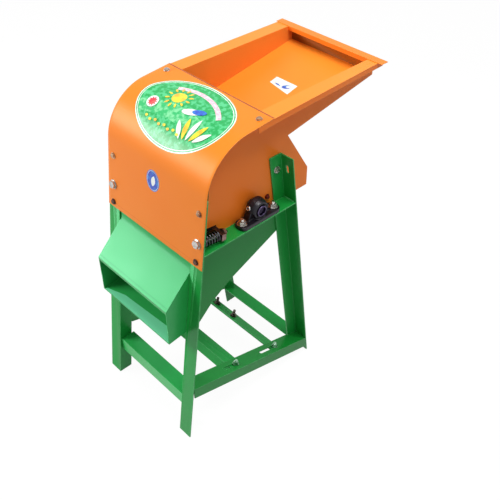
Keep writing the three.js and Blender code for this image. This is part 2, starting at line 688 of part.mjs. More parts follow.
// Cob outlet: a sloping cover under the tray and a floor behind the drum
function addOutlet() {
  const half = casingInside - gap;
  const top = [neckY, wallFoot(neckY)];
  const end = [outletRear, outletTop];
  const length = Math.hypot(end[0] - top[0], end[1] - top[1]);
  const along = [(end[0] - top[0]) / length, (end[1] - top[1]) / length];
  const inset = ([y, z]) => [y + along[1] * outletInset, z - along[0] * outletInset];
  const reach = trayWallLip - 3 * casingWall;
  const cover = [
    inset([top[0] - along[0] * reach, top[1] - along[1] * reach]),
    inset([end[0] - along[0] * outletInset, end[1] - along[1] * outletInset]),
  ];
  object.add(meshOf('outlet_cover', bentSheet(cover, -casingWall, -half, half), orangePaint));
  const floorTop = outletBottom + outletInset + outletFall;
  const floorStart = shaftY + Math.sqrt((screenOuter + gap) ** 2 - (shaftZ - floorTop - casingWall) ** 2);
  const floor = [[floorStart, floorTop], [outletRear - outletInset, outletBottom + outletInset]];
  object.add(meshOf('outlet_floor', bentSheet(floor, casingWall, -half, half), orangePaint));
}

// Funnel under the drum: two side plates and a bent floor with a rear wall
function addFunnel() {
  const jointY = z => frontFace(z) + chuteJoint + gap;
  const last = funnelLine[funnelLine.length - 1];
  const plate = [
    [jointY(funnelTop), funnelTop],
    [jointY(last[1]), last[1]],
    ...funnelLine.slice(0, -1).reverse(),
    [rearFace(funnelTop) - funnelInset, funnelTop],
  ];
  addBoth('funnel_side', slab(plate, funnelInside, casingFace), greenPaint);
  const half = innerHalf;
  const [[rearY, rearZ], [nextY, nextZ]] = funnelLine;
  const kneeZ = rearZ + (nextZ - rearZ) * (rearY - funnelRearWall) / (rearY - nextY);
  const line = [[funnelRearWall, funnelRearTop], [funnelRearWall, kneeZ + funnelInset],
    ...funnelLine.slice(1, -1).map(([y, z]) => [y, z + funnelInset]),
    [jointY(last[1]), last[1] + funnelInset]];
  object.add(meshOf('funnel_floor', bentSheet(line, -funnelWall, -half, half), greenPaint));
}

// Kernel chute: a bent duct between the front legs, with an apron up behind the hood
function addChute() {
  const jointY = z => frontFace(z) + chuteJoint;
  const last = funnelLine[funnelLine.length - 1];
  const mouthTop = [chuteMouthY, chuteMouthTop];
  const topRear = [chuteTopRearY, chuteTopRearZ];
  const apron = [chuteTopRearY + lean * (apronTop - chuteTopRearZ), apronTop];
  const side = [mouthTop, [chuteMouthY, chuteMouthBottom], [jointY(last[1]), last[1]],
    [jointY(apronTop), apronTop], apron, topRear];
  const topLine = [mouthTop, topRear, apron];
  const floorLine = [[chuteMouthY, chuteMouthBottom], [jointY(last[1]), last[1]]];
  const body = joined([
    slab(side, funnelInside, casingFace),
    slab(side, -casingFace, -funnelInside),
    bentSheet(topLine, -funnelWall, -casingFace, casingFace),
    bentSheet(floorLine, funnelWall, -casingFace, casingFace),
    box(-casingFace, casingFace, chuteMouthY, chuteMouthY + funnelWall, chuteMouthTop - chuteHem, chuteMouthTop),
  ]);
  object.add(meshOf('kernel_chute', body, greenPaint));
}

// Pillow block bearings and the rings that turn in them
function addBearings() {
  const foot = roundedPlate(bearingWidth, bearingLength, bearingCorner,
    railHeight + gap, railHeight + bearingFoot).translate([bearingLine, shaftY, 0]);
  const domeLength = bearingDomeInner - bearingDomeTaper;
  const domeMiddle = bearingLine - (bearingDomeInner + bearingDomeTaper) / 2;
  const coneLength = bearingDomeOuter + bearingDomeTaper;
  const cone = new THREE.CylinderGeometry(bearingDome, bearingDomeEnd, coneLength, roundSides);
  cone.rotateZ(Math.PI / 2);
  cone.translate(bearingLine + bearingDomeOuter - coneLength / 2, shaftY, shaftZ);
  const flanks = slab([[shaftY - bearingFlank, railHeight + bearingFoot / 2],
    [shaftY + bearingFlank, railHeight + bearingFoot / 2],
    [shaftY + bearingDome, shaftZ], [shaftY - bearingDome, shaftZ]],
  bearingLine - bearingDomeTaper - bearingFlankHalf, bearingLine - bearingDomeTaper + bearingFlankHalf);
  const dome = rod('x', bearingDome, domeLength, [domeMiddle, shaftY, shaftZ], roundSides)
    .add(solid(cone)).add(flanks);
  const trimmed = dome.subtract(box(bearingLine - bearingWidth, bearingLine + bearingWidth,
    shaftY - bearingLength, shaftY + bearingLength, railHeight - bearingDome, railHeight + gap));
  const holes = [-1, 1].map(side => rod('z', bearingBolt.shank + boreSlack, 4 * bearingFoot,
    [bearingLine, shaftY + side * bearingBolts / 2, railHeight]));
  holes.push(rod('x', innerRingRadius + running, 2 * bearingWidth, [bearingLine, shaftY, shaftZ], roundSides));
  addBoth('bearing_housing', cut(foot.add(trimmed), holes), blackCast);
  const ring = rod('x', innerRingRadius, innerRingLength, [bearingLine, shaftY, shaftZ], roundSides)
    .subtract(rod('x', shaftRadius + gap, 2 * innerRingLength, [bearingLine, shaftY, shaftZ], roundSides));
  addBoth('bearing_inner_ring', ring, plainSteel);
  for (const [side, sign] of pair) {
    for (const [place, direction] of [['front', -1], ['rear', 1]]) {
      const clamped = bearingFoot + angleWall;
      const bolt = meshOf(`bearing_bolt_${side}_${place}`, boltBody(bearingBolt, clamped), zinc);
      bolt.position.set(sign * bearingLine, shaftY + direction * bearingBolts / 2, railHeight - angleWall);
      bolt.rotation.x = Math.PI / 2;
      object.add(bolt);
    }
  }
}

function addShaft() {
  const middle = (shaftRightEnd + shaftLeftEnd) / 2;
  const shaft = rod('x', shaftRadius, shaftRightEnd - shaftLeftEnd, [middle, shaftY, shaftZ], roundSides);
  object.add(meshOf('drum_shaft', shaft, plainSteel));
}

// Drum: a tube on two end discs with hubs, and studs in twisted rows
function addDrum() {
  const half = drumLength / 2;
  const at = x => [x, shaftY, shaftZ];
  const tube = rod('x', drumRadius, drumLength, at(0), drumSides)
    .subtract(rod('x', drumRadius - drumWall, 2 * drumLength, at(0), drumSides));
  const parts = [tube];
  for (const side of [-1, 1]) {
    const disc = rod('x', drumRadius - drumWall / 2, drumWall, at(side * (half - drumWall)), drumSides);
    const hub = rod('x', drumHub, drumHubLength, at(side * (half - drumHubLength / 2)), drumSides);
    const ringRadius = (drumHub + drumRadius - drumWall) / 2;
    const holes = Array.from({ length: lightHoles }, (_, i) => {
      const angle = 2 * Math.PI * i / lightHoles;
      return rod('x', lightHoleRadius, 2 * drumLength,
        [0, shaftY + ringRadius * Math.cos(angle), shaftZ + ringRadius * Math.sin(angle)], boltSides);
    });
    parts.push(cut(disc, holes), hub);
  }
  const studLength = toothHeight + drumWall / 2;
  const studMiddle = drumRadius - drumWall / 2 + studLength / 2;
  for (let row = 0; row < toothRows; row += 1) {
    for (let i = 0; i < teethPerRow; i += 1) {
      const share = (i + 0.5) / teethPerRow;
      const angle = (360 * row / toothRows + toothTwist * share) * degrees;
      const stud = new THREE.CylinderGeometry(toothTipRadius, toothRadius, studLength, studSides);
      stud.translate(0, studMiddle, 0);
      stud.rotateX(angle);
      stud.translate(-half + drumLength * share, shaftY, shaftZ);
      parts.push(solid(stud));
    }
  }
  const bore = rod('x', shaftRadius + gap, 2 * drumLength, at(0), roundSides);
  object.add(meshOf('drum', joined(parts).subtract(bore), darkSteel));
}

// Concave screen: a slotted half shell under the drum with end plates bolted to the panels
function addScreen() {
  const inner = screenInner;
  const outer = screenOuter;
  const half = innerHalf;
  const steps = 2 * bendSteps;
  const shell = slab([...arc(outer, screenFrontAngle, screenRearAngle, steps),
    ...arc(inner, screenRearAngle, screenFrontAngle, steps)], -half, half);
  const end = slab([...arc(outer, screenFrontAngle, screenEndAngle, steps),
    ...arc(screenEndInner, screenEndAngle, screenFrontAngle, bendSteps)], half - screenWall, half);
  const cutters = [];
  const pitchX = (2 * half - 2 * screenWall) / screenSlotColumns;
  for (let column = 0; column < screenSlotColumns; column += 1) {
    for (let row = 0; row < screenSlotRows; row += 1) {
      const share = (row + 1) / (screenSlotRows + 1);
      const angle = (screenFrontAngle + (screenRearAngle - screenFrontAngle) * share) * degrees;
      const cutter = new THREE.BoxGeometry(screenSlotLength, 4 * screenWall, screenSlotWidth);
      cutter.translate(0, (inner + outer) / 2, 0);
      cutter.rotateX(angle);
      cutter.translate(pitchX * (column + 0.5 - screenSlotColumns / 2), shaftY, shaftZ);
      cutters.push(solid(cutter));
    }
  }
  const body = joined([cut(shell, cutters), end, mirrored(end)]);
  const bolts = [-1, 1].map(sign => rod('x', panelBolt.shank + boreSlack, 4 * overrun,
    [sign * half, screenBoltY, screenBoltZ]));
  object.add(meshOf('concave_screen', cut(body, bolts), plainSteel));
}

// Pressure plate: a curved plate in front of the drum, welded to a crossbar that reaches the bolts
function addPressurePlate() {
  const outer = plateOuter;
  const inner = outer - plateWall;
  const half = casingInside - plateSideGap;
  const plate = slab([...arc(outer, plateTopAngle, plateBottomAngle, bendSteps),
    ...arc(inner, plateBottomAngle, plateTopAngle, bendSteps)], -half, half);
  const barHalf = halfFrame - crossbarEnd;
  const bar = slab(crossbarOutline(0, 0), -barHalf, barHalf);
  const [holeY, holeZ] = alongAdjuster(crossbarFront, 0);
  const holes = [-boltLine, boltLine].map(x => rod('y', adjusterBolt.shank + boreSlack, 4 * crossbarWall,
    [x, holeY, holeZ], boltSides, -leanAngle));
  const drumSide = rod('x', inner, 2 * half, [0, shaftY, shaftZ], 2 * roundSides);
  const body = cut(plate.add(bar.subtract(drumSide)), holes);
  object.add(meshOf('pressure_plate', body, darkSteel));
  for (const [side, sign] of pair) {
    const bolt = meshOf(`adjusting_bolt_${side}`, adjustingBoltBody(), zinc);
    bolt.position.set(sign * boltLine, ...alongAdjuster(-gap - casingWall, 0));
    bolt.rotation.x = -leanAngle;
    object.add(bolt);
    const nut = meshOf(`adjusting_nut_${side}`, adjustingNutBody(), darkSteel);
    nut.position.set(sign * boltLine, ...alongAdjuster(crossbarFront + crossbarWall + gap, 0));
    nut.rotation.x = -leanAngle;
    object.add(nut);
    const spring = meshOf(`adjusting_spring_${side}`, springGeometry(), darkSteel);
    spring.position.set(sign * boltLine, ...alongAdjuster(angleWall + gap, 0));
    spring.rotation.x = -leanAngle;
    object.add(spring);
  }
}

// The adjusting bolt: its head seats on the hood, and its shank reaches through the crossbar
const adjusterLength = casingWall + gap + adjusterReach + crossbarWall + gap + adjusterBolt.nut + adjusterBolt.end;
function adjustingBoltBody() {
  const head = new THREE.CylinderGeometry(adjusterBolt.corner, adjusterBolt.corner, adjusterBolt.head, 6);
  head.translate(0, -gap - adjusterBolt.head / 2, 0);
  const reach = adjusterLength + adjusterBolt.head / 2;
  return solid(head).add(rod('y', adjusterBolt.shank, reach, [0, reach / 2 - adjusterBolt.head / 2, 0]));
}

function adjustingNutBody() {
  const nut = new THREE.CylinderGeometry(adjusterBolt.corner, adjusterBolt.corner, adjusterBolt.nut, 6);
  nut.translate(0, adjusterBolt.nut / 2, 0);
  return solid(nut).subtract(rod('y', adjusterBolt.shank + gap, 4 * adjusterBolt.nut, [0, 0, 0]));
}

// The spring's middle line: closed turns at both ends, open turns between, and straight tips
function springLine() {
  const length = adjusterReach - angleWall - 2 * gap;
  const first = springWire / 2;
  const openTurns = springTurns - 2 * closedTurns;
  const openPitch = (length - springWire - 2 * closedTurns * springEndPitch) / openTurns;
  const steps = springTurns * springSteps;
  const points = Array.from({ length: steps + 1 }, (_, i) => {
    const turn = i / springSteps;
    const open = Math.min(Math.max(turn - closedTurns, 0), openTurns);
    const closed = Math.min(turn, closedTurns) + Math.max(turn - closedTurns - openTurns, 0);
    const angle = 2 * Math.PI * turn;
    return new THREE.Vector3(springRadius * Math.cos(angle),
      first + springEndPitch * closed + openPitch * open, springRadius * Math.sin(angle));
  });
  const tip = (from, to) => to.clone().add(to.clone().sub(from).setY(0).setLength(springWire));
  return [tip(points[1], points[0]), ...points, tip(points[steps - 1], points[steps])];
}

// Distance between turns, less the wire, measured between points half a turn or more apart
function leastSpringGap(points) {
  let least = Infinity;
  points.forEach((p, i) => points.slice(i + springSteps / 2 + 1).forEach(q => {
    least = Math.min(least, p.distanceTo(q) - springWire);
  }));
  return least;
}

function springGeometry() {
  const line = springLine();
  const wire = springWire / 2;
  const positions = [];
  line.forEach((point, i) => {
    const ahead = line[Math.min(i + 1, line.length - 1)];
    const behind = line[Math.max(i - 1, 0)];
    const forward = ahead.clone().sub(behind).normalize();
    const outward = new THREE.Vector3(point.x, 0, point.z).normalize();
    outward.addScaledVector(forward, -outward.dot(forward)).normalize();
    const across = forward.clone().cross(outward);
    for (let side = 0; side < springSides; side += 1) {
      const angle = 2 * Math.PI * side / springSides;
      const ring = point.clone().addScaledVector(outward, wire * Math.cos(angle))
        .addScaledVector(across, wire * Math.sin(angle));
      positions.push(ring.x, ring.y, ring.z);
    }
  });
  const faces = [];
  const rings = line.length;
  for (let ring = 0; ring < rings - 1; ring += 1) {
    for (let side = 0; side < springSides; side += 1) {
      const a = ring * springSides + side;
      const b = ring * springSides + (side + 1) % springSides;
      faces.push(a, b, b + springSides, a, b + springSides, a + springSides);
    }
  }
  for (let side = 1; side < springSides - 1; side += 1) {
    const end = (rings - 1) * springSides;
    faces.push(0, side + 1, side, end, end + side, end + side + 1);
  }
  const geometry = new THREE.BufferGeometry();
  geometry.setAttribute('position', new THREE.Float32BufferAttribute(positions, 3));
  geometry.setIndex(faces);
  geometry.computeVertexNormals();
  return geometry;
}

// Driven pulley: rim with one V groove, web and hub, turned about the shaft
function addPulley() {
  const half = pulleyWidth / 2;
  const hubHalf = pulleyHubWidth / 2;
  const web = pulleyWeb / 2;
  const rimInner = pulleyRadius - pulleyGroove - pulleyRim;
  const bore = shaftRadius + gap;
  const profile = [
    [bore, -hubHalf], [pulleyHub, -hubHalf], [pulleyHub, -web], [rimInner, -web], [rimInner, -half],
    [pulleyRadius, -half], [pulleyRadius, -pulleyGrooveTop / 2],
    [pulleyRadius - pulleyGroove, -pulleyGrooveBottom / 2], [pulleyRadius - pulleyGroove, pulleyGrooveBottom / 2],
    [pulleyRadius, pulleyGrooveTop / 2], [pulleyRadius, half], [rimInner, half], [rimInner, web],
    [pulleyHub, web], [pulleyHub, hubHalf], [bore, hubHalf], [bore, -hubHalf],
  ].map(([r, x]) => new THREE.Vector2(r, x));
  const geometry = new THREE.LatheGeometry(profile, roundSides);
  geometry.rotateZ(Math.PI / 2);
  geometry.translate(shaftLeftEnd + pulleyEndCap + hubHalf, shaftY, shaftZ);
  object.add(meshOf('driven_pulley', solid(geometry), greyCast));
}

// Bolts of the casing: hood screws, leg bolts and screen bolts
function addCasingBolts() {
  const roofZ = trayTop + gap + casingWall - Math.tan(roofRise * degrees) * (roofRear - roofScrewY);
  for (const [side, sign] of pair) {
    for (const [place, height] of [['low', hoodScrewLow], ['high', hoodScrewHigh]]) {
      const screw = meshOf(`hood_screw_${place}_${side}`, boltBody(hoodBolt, casingWall + gap + angleWall), zinc);
      const face = frontFace(height);
      screw.position.set(sign * boltLine, face - (gap + casingWall) * Math.cos(leanAngle),
        height + (gap + casingWall) * Math.sin(leanAngle));
      screw.rotation.x = -leanAngle;
      object.add(screw);
    }
    const roof = meshOf(`hood_screw_roof_${side}`, boltBody(hoodBolt, 2 * casingWall + gap), zinc);
    roof.position.set(sign * boltLine, roofScrewY, roofZ);
    roof.rotation.x = -Math.PI / 2 + roofRise * degrees;
    object.add(roof);
    const legBolt = meshOf(`rear_leg_bolt_${side}`, boltBody(panelBolt, angleWall + gap + casingWall), zinc);
    legBolt.position.set(sign * (innerFace + angleWall), rearFace(legBoltHeight) - legBoltInset, legBoltHeight);
    legBolt.rotation.z = sign * Math.PI / 2;
    object.add(legBolt);
    const screenBolt = meshOf(`screen_bolt_${side}`, boltBody(panelBolt, casingFace - innerHalf + screenWall), zinc);
    screenBolt.position.set(sign * casingFace, screenBoltY, screenBoltZ);
    screenBolt.rotation.z = sign * Math.PI / 2;
    object.add(screenBolt);
  }
}

addLegs();
addUpperRails();
addLowerRails();
addCrossRails();
addMotorBars();
addHood();
addSidePanels();
addFeedTray();
addOutlet();
addFunnel();
addChute();
addBearings();
addShaft();
addDrum();
addScreen();
addPressurePlate();
addPulley();
addCasingBolts();
console.log(`least gap of the springs to themselves: ${leastSpringGap(springLine()).toFixed(2)} mm`);

// The origin is the middle of the bottom of the object's box
object.updateMatrixWorld(true);
const bounds = new THREE.Box3().setFromObject(object, true);
object.position.set(-(bounds.min.x + bounds.max.x) / 2, -(bounds.min.y + bounds.max.y) / 2, -bounds.min.z);

export default object;
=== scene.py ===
import json
import math

import bmesh
import bpy
from mathutils import Matrix, Vector, noise
from mathutils.bvhtree import BVHTree


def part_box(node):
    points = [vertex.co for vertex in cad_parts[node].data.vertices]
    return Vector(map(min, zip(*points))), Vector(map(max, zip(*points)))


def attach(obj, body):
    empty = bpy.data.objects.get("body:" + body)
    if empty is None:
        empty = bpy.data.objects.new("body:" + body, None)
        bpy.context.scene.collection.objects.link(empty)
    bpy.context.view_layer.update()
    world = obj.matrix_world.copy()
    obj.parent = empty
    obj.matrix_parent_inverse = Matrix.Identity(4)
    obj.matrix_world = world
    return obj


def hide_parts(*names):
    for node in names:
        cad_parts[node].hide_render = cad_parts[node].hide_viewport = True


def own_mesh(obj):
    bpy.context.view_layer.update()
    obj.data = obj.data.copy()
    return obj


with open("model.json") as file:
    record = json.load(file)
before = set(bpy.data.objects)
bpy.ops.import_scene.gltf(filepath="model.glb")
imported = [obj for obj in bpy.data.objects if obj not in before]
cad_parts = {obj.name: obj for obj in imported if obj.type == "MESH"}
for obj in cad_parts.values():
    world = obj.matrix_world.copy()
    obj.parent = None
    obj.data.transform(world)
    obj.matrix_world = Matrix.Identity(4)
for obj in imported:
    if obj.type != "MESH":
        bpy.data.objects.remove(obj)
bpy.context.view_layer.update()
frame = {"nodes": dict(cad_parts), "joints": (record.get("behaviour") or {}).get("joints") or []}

# The studio: a white floor that runs out of sight, a large soft box at the front left, a weaker one at
# the right and a broad one overhead. The camera stands at the front right and looks down on the machine.
mm = 0.001
scene = bpy.context.scene
scene.view_settings.view_transform = "Standard"
camera_tilt = 40.461
camera_heading = 46.511
camera_data = bpy.data.cameras.new("studio_camera")
camera_data.lens = 51.823
camera_data.sensor_width = 36
camera = bpy.data.objects.new("studio_camera", camera_data)
camera.location = (1.088649, -0.960178, 1.559429)
camera.rotation_euler = (math.radians(90 - camera_tilt), 0, math.radians(camera_heading))
scene.collection.objects.link(camera)
scene.camera = camera

machine_middle = Vector((0.02, -0.1, 0.45))
for name, place, size, power in (
    ("soft_box_front_left", (-1.75, -1.9, 1.5), 1.2, 47),
    ("soft_box_right", (2.6, -0.2, 1.7), 1.2, 5),
    ("soft_box_overhead", (0.6, 0.1, 2.8), 1.4, 46),
):
    lamp = bpy.data.lights.new(name, "AREA")
    lamp.size = size
    lamp.energy = power
    soft_box = bpy.data.objects.new(name, lamp)
    soft_box.location = place
    soft_box.rotation_euler = (machine_middle - Vector(place)).to_track_quat("-Z", "Y").to_euler()
    scene.collection.objects.link(soft_box)


def seen_directly(tree):
    """One where a camera, gloss or glass ray meets the material, nought where other light does."""
    rays = tree.nodes.new("ShaderNodeLightPath")
    total = rays.outputs["Is Camera Ray"]
    for kind in ("Is Glossy Ray", "Is Transmission Ray"):
        add = tree.nodes.new("ShaderNodeMath")
        add.operation = "MAXIMUM"
        tree.links.new(total, add.inputs[0])
        tree.links.new(rays.outputs[kind], add.inputs[1])
        total = add.outputs[0]
    return total


room_strength = 0.26
world = bpy.data.worlds.new("studio_room")
world.use_nodes = True
scene.world = world
room = world.node_tree
room_light = room.nodes["Background"]
room_light.inputs["Strength"].default_value = room_strength
room_wall = room.nodes.new("ShaderNodeBackground")
room_choice = room.nodes.new("ShaderNodeMixShader")
for shade in (room_light, room_wall):
    shade.inputs["Color"].default_value = (1, 1, 1, 1)
room.links.new(seen_directly(room), room_choice.inputs[0])
room.links.new(room_light.outputs[0], room_choice.inputs[1])
room.links.new(room_wall.outputs[0], room_choice.inputs[2])
room.links.new(room_choice.outputs[0], room.nodes["World Output"].inputs["Surface"])

floor_reach = 30
paper_tone = 0.5
paper_strength = 1.12
paper_lift = 0.85
floor_mesh = bmesh.new()
bmesh.ops.create_grid(floor_mesh, x_segments=1, y_segments=1, size=floor_reach)
floor_data = bpy.data.meshes.new("studio_floor")
floor_mesh.to_mesh(floor_data)
floor_mesh.free()
floor = bpy.data.objects.new("studio_floor", floor_data)
scene.collection.objects.link(floor)
floor_paper = bpy.data.materials.new("white_paper")
floor_paper.use_nodes = True
paper = floor_paper.node_tree
paper_shader = paper.nodes["Principled BSDF"]
paper_shader.inputs["Base Color"].default_value = (paper_tone, paper_tone, paper_tone, 1)
paper_shader.inputs["Roughness"].default_value = 0.9
paper_glow = paper.nodes.new("ShaderNodeEmission")
paper_glow.inputs["Strength"].default_value = paper_strength
paper_share = paper.nodes.new("ShaderNodeMath")
paper_share.operation = "MULTIPLY"
paper_share.inputs[1].default_value = paper_lift
paper_mix = paper.nodes.new("ShaderNodeMixShader")
paper.links.new(seen_directly(paper), paper_share.inputs[0])
paper.links.new(paper_share.outputs[0], paper_mix.inputs[0])
paper.links.new(paper_shader.outputs[0], paper_mix.inputs[1])
paper.links.new(paper_glow.outputs[0], paper_mix.inputs[2])
paper.links.new(paper_mix.outputs[0], paper.nodes["Material Output"].inputs["Surface"])
floor_data.materials.append(floor_paper)


# The frame: hot rolled angle iron, cut to length, welded at its joints and sprayed with green gloss
# paint. The legs lean towards each other, and the lower side rails fall to the back.
def seen_colour(red, green, blue):
    """A colour as it looks on a screen, 0 to 255, as the shader wants it."""
    return tuple((c / 255 / 12.92) if c < 11 else ((c / 255 + 0.055) / 1.055) ** 2.4
                 for c in (red, green, blue))


def new_finish(name):
    finish = bpy.data.materials.new(name)
    finish.use_nodes = True
    tree = finish.node_tree
    place = tree.nodes.new("ShaderNodeTexCoord").outputs["Object"]
    return finish, tree, tree.nodes["Principled BSDF"], place


def grain(tree, place, scale, detail=2.0, roughness=0.5):
    texture = tree.nodes.new("ShaderNodeTexNoise")
    texture.inputs["Scale"].default_value = scale
    texture.inputs["Detail"].default_value = detail
    texture.inputs["Roughness"].default_value = roughness
    tree.links.new(place, texture.inputs["Vector"])
    return texture.outputs["Fac"]


def spread(tree, value, low, high, out_low=0.0, out_high=1.0):
    ranged = tree.nodes.new("ShaderNodeMapRange")
    for socket, number in zip(list(ranged.inputs)[1:5], (low, high, out_low, out_high)):
        socket.default_value = number
    tree.links.new(value, ranged.inputs[0])
    return ranged.outputs[0]


def mixed(tree, share, first, second):
    """A blend of two colours, each a socket or a colour as it looks on a screen."""
    mixer = tree.nodes.new("ShaderNodeMix")
    mixer.data_type = "RGBA"
    tree.links.new(share, mixer.inputs[0])
    for socket, colour in ((mixer.inputs[6], first), (mixer.inputs[7], second)):
        if isinstance(colour, tuple):
            socket.default_value = (*seen_colour(*colour), 1)
        else:
            tree.links.new(colour, socket)
    return mixer.outputs[2]


def raised(tree, shader, height, depth, strength):
    bump = tree.nodes.new("ShaderNodeBump")
    bump.inputs["Distance"].default_value = depth
    bump.inputs["Strength"].default_value = strength
    tree.links.new(height, bump.inputs["Height"])
    tree.links.new(bump.outputs[0], shader.inputs["Normal"])


# The pale edge tone is partly rubbed paint and partly a painted highlight along the edges.
def worn_and_lit_edges(tree, reach):
    """Near one within reach of an edge, from how far the rounded normal turns there."""
    softened = tree.nodes.new("ShaderNodeBevel")
    softened.inputs["Radius"].default_value = reach
    surface = tree.nodes.new("ShaderNodeNewGeometry")
    turn = tree.nodes.new("ShaderNodeVectorMath")
    turn.operation = "DOT_PRODUCT"
    tree.links.new(softened.outputs[0], turn.inputs[0])
    tree.links.new(surface.outputs["Normal"], turn.inputs[1])
    return spread(tree, turn.outputs["Value"], 0.995, 0.86)


def gloss_paint(name, colour, deep, pale, roughness, gloss_tint, edge_reach, gloss=0.5):
    """Sprayed paint: two tones in soft clouds, pale at the edges, partly rubbed paint and partly a painted
    highlight, with a fine skin.
    """
    finish, tree, shader, place = new_finish(name)
    clouds = spread(tree, grain(tree, place, 4, 3), 0.3, 0.7)
    edge_patches = spread(tree, grain(tree, place, 45, 3), 0.3, 0.6, 0.25, 0.95)
    sheen = spread(tree, grain(tree, place, 14, 3), 0.3, 0.7, roughness - 0.015, roughness + 0.025)
    edge = tree.nodes.new("ShaderNodeMath")
    edge.operation = "MULTIPLY"
    tree.links.new(worn_and_lit_edges(tree, edge_reach), edge.inputs[0])
    tree.links.new(edge_patches, edge.inputs[1])
    tone = mixed(tree, edge.outputs[0], mixed(tree, clouds, deep, colour), pale)
    tree.links.new(tone, shader.inputs["Base Color"])
    tree.links.new(sheen, shader.inputs["Roughness"])
    shader.inputs["Specular IOR Level"].default_value = gloss
    shader.inputs["Specular Tint"].default_value = (*gloss_tint, 1)
    raised(tree, shader, grain(tree, place, 420, 2, 0.6), 0.12 * mm, 0.25)
    return finish


green_gleam = (0.3, 1.0, 0.6)
light_green_gleam = (0.42, 1.0, 0.72)
green_paint = gloss_paint("green_gloss_paint", (32, 158, 66), (28, 146, 58), (120, 212, 142), 0.3,
                          green_gleam, 1.8 * mm, 0.4)
# A lighter, glossier green for the kernel chute's sheet.
lighter_chute_green = gloss_paint("lighter_chute_green_gloss_paint", (45, 174, 87), (41, 166, 79), (120, 206, 148), 0.32,
                          light_green_gleam, 0.6 * mm, 0.62)
# A darker copy of the green, painted shade: for the lower side rails and the funnel sheets, which lie in
# shade.
painted_shade_green = gloss_paint("painted_shade_green_gloss_paint", (27, 141, 54), (24, 130, 47), (110, 204, 132), 0.3,
                         green_gleam, 1.4 * mm, 0.3)
# A lighter copy of the green, painted light: for the front lower cross rail and the chute's mouth floor,
# which lie in the chute's shade.
painted_light_green = gloss_paint("painted_light_green_gloss_paint", (58, 194, 98), (50, 184, 88), (120, 212, 142), 0.32,
                         light_green_gleam, 1.0 * mm, 0.5)


def finished(bm, name, finish, slot_name, body, *nodes, sharp=50):
    """Make an object of a mesh, paint it, and let it ride in the place of its CAD nodes."""
    mesh = bpy.data.meshes.new(name)
    bm.to_mesh(mesh)
    bm.free()
    for face in mesh.polygons:
        face.use_smooth = True
    mesh.set_sharp_from_angle(angle=math.radians(sharp))
    for coat in (finish if isinstance(finish, list) else [finish]):
        mesh.materials.append(coat)
    piece = bpy.data.objects.new(name, mesh)
    scene.collection.objects.link(piece)
    piece.modifiers.new("even_shading", "WEIGHTED_NORMAL").keep_sharp = True
    if nodes:
        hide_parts(*nodes)
    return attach(piece, body)


same_place = 0.005 * mm
same_plane = math.radians(0.4)
corner_angle = math.radians(35)


def rounded(bm, edges, reach, segments=2, profile=0.5, clamp=True):
    """Round edges of a mesh, with clamp no further than their neighbours leave room for."""
    bmesh.ops.bevel(bm, geom=edges, offset=reach, offset_type="OFFSET", segments=segments, profile=profile,
                    affect="EDGES", clamp_overlap=clamp, material=-1)


def cad_copy(node, edge, fillet=0.0):
    """A CAD node with its triangles joined into faces, its edges rounded and its inner corners filled."""
    bm = bmesh.new()
    bm.from_mesh(frame["nodes"][node].data)
    bmesh.ops.remove_doubles(bm, verts=bm.verts[:], dist=same_place)
    bmesh.ops.dissolve_limit(bm, angle_limit=same_plane, verts=bm.verts[:], edges=bm.edges[:])
    for reach, inner in ((fillet, True), (edge, False)):
        corners = [e for e in bm.edges if e.is_manifold and abs(e.calc_face_angle_signed()) > corner_angle
                   and (e.calc_face_angle_signed() < 0) == inner]
        if reach and corners:
            rounded(bm, corners, reach)
    bm.normal_update()
    return bm


iron_edge = 0.55 * mm
iron_fillet = 1.4 * mm
bar_fillet = 1.6 * mm
# The lower side rails take the darker green, painted shade.
side_irons = {"front_leg": green_paint, "rear_leg": green_paint, "upper_rail": green_paint,
              "lower_side_rail": painted_shade_green}
# The front lower cross rail takes the lighter green, painted light.
cross_irons = {"lower_cross_rail_front": painted_light_green, "lower_cross_rail_rear": green_paint,
               "upper_cross_rail_front": green_paint, "upper_cross_rail_rear": green_paint}
paired_irons = {f"{node}_{side}": coat for node, coat in side_irons.items() for side in ("right", "left")}
for node, coat in {**paired_irons, **cross_irons}.items():
    finished(cad_copy(node, iron_edge, iron_fillet), f"{node}_iron", coat, "green_paint", "frame", node)
for place in ("front", "rear"):
    node = f"motor_bar_{place}"
    finished(cad_copy(node, iron_edge, bar_fillet), f"{node}_iron", green_paint, "green_paint", node, node)


# The welds of the frame: short beads of arc weld, where rails meet legs, painted over with the rest.
def bead(name, start, end, radius=2.2 * mm):
    """A row of overlapping drops of weld between two places."""
    count = max(3, round((end - start).length / (radius * 0.9)))
    bm = bmesh.new()
    for step in range(count + 1):
        wobble = noise.noise(start * 90 + Vector((step, 0, 0)))
        drop = bmesh.ops.create_icosphere(bm, subdivisions=2, radius=radius * (1 + 0.14 * wobble))["verts"]
        bmesh.ops.translate(bm, vec=start.lerp(end, step / count), verts=drop)
    finished(bm, name, green_paint, "green_paint", "frame", sharp=80)


weld_inset = 1.5 * mm
weld_start = 6 * mm
weld_end = 30 * mm
for side, way in (("right", 1), ("left", -1)):
    rail_low, rail_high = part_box(f"upper_rail_{side}")
    outer_x = rail_high.x if way == 1 else rail_low.x
    for place, y in (("front", rail_low.y + weld_inset), ("rear", rail_high.y - weld_inset)):
        bead(f"weld_upper_rail_{side}_{place}", Vector((outer_x - way * weld_start, y, rail_high.z)),
             Vector((outer_x - way * weld_end, y, rail_high.z)))


# The funnel and the kernel chute: 2 mm sheet, cut, bent and welded, and painted with the frame. The
# chute's top has its front edge turned down, and its flanges are hidden between the legs.
sheet_edge = 0.4 * mm
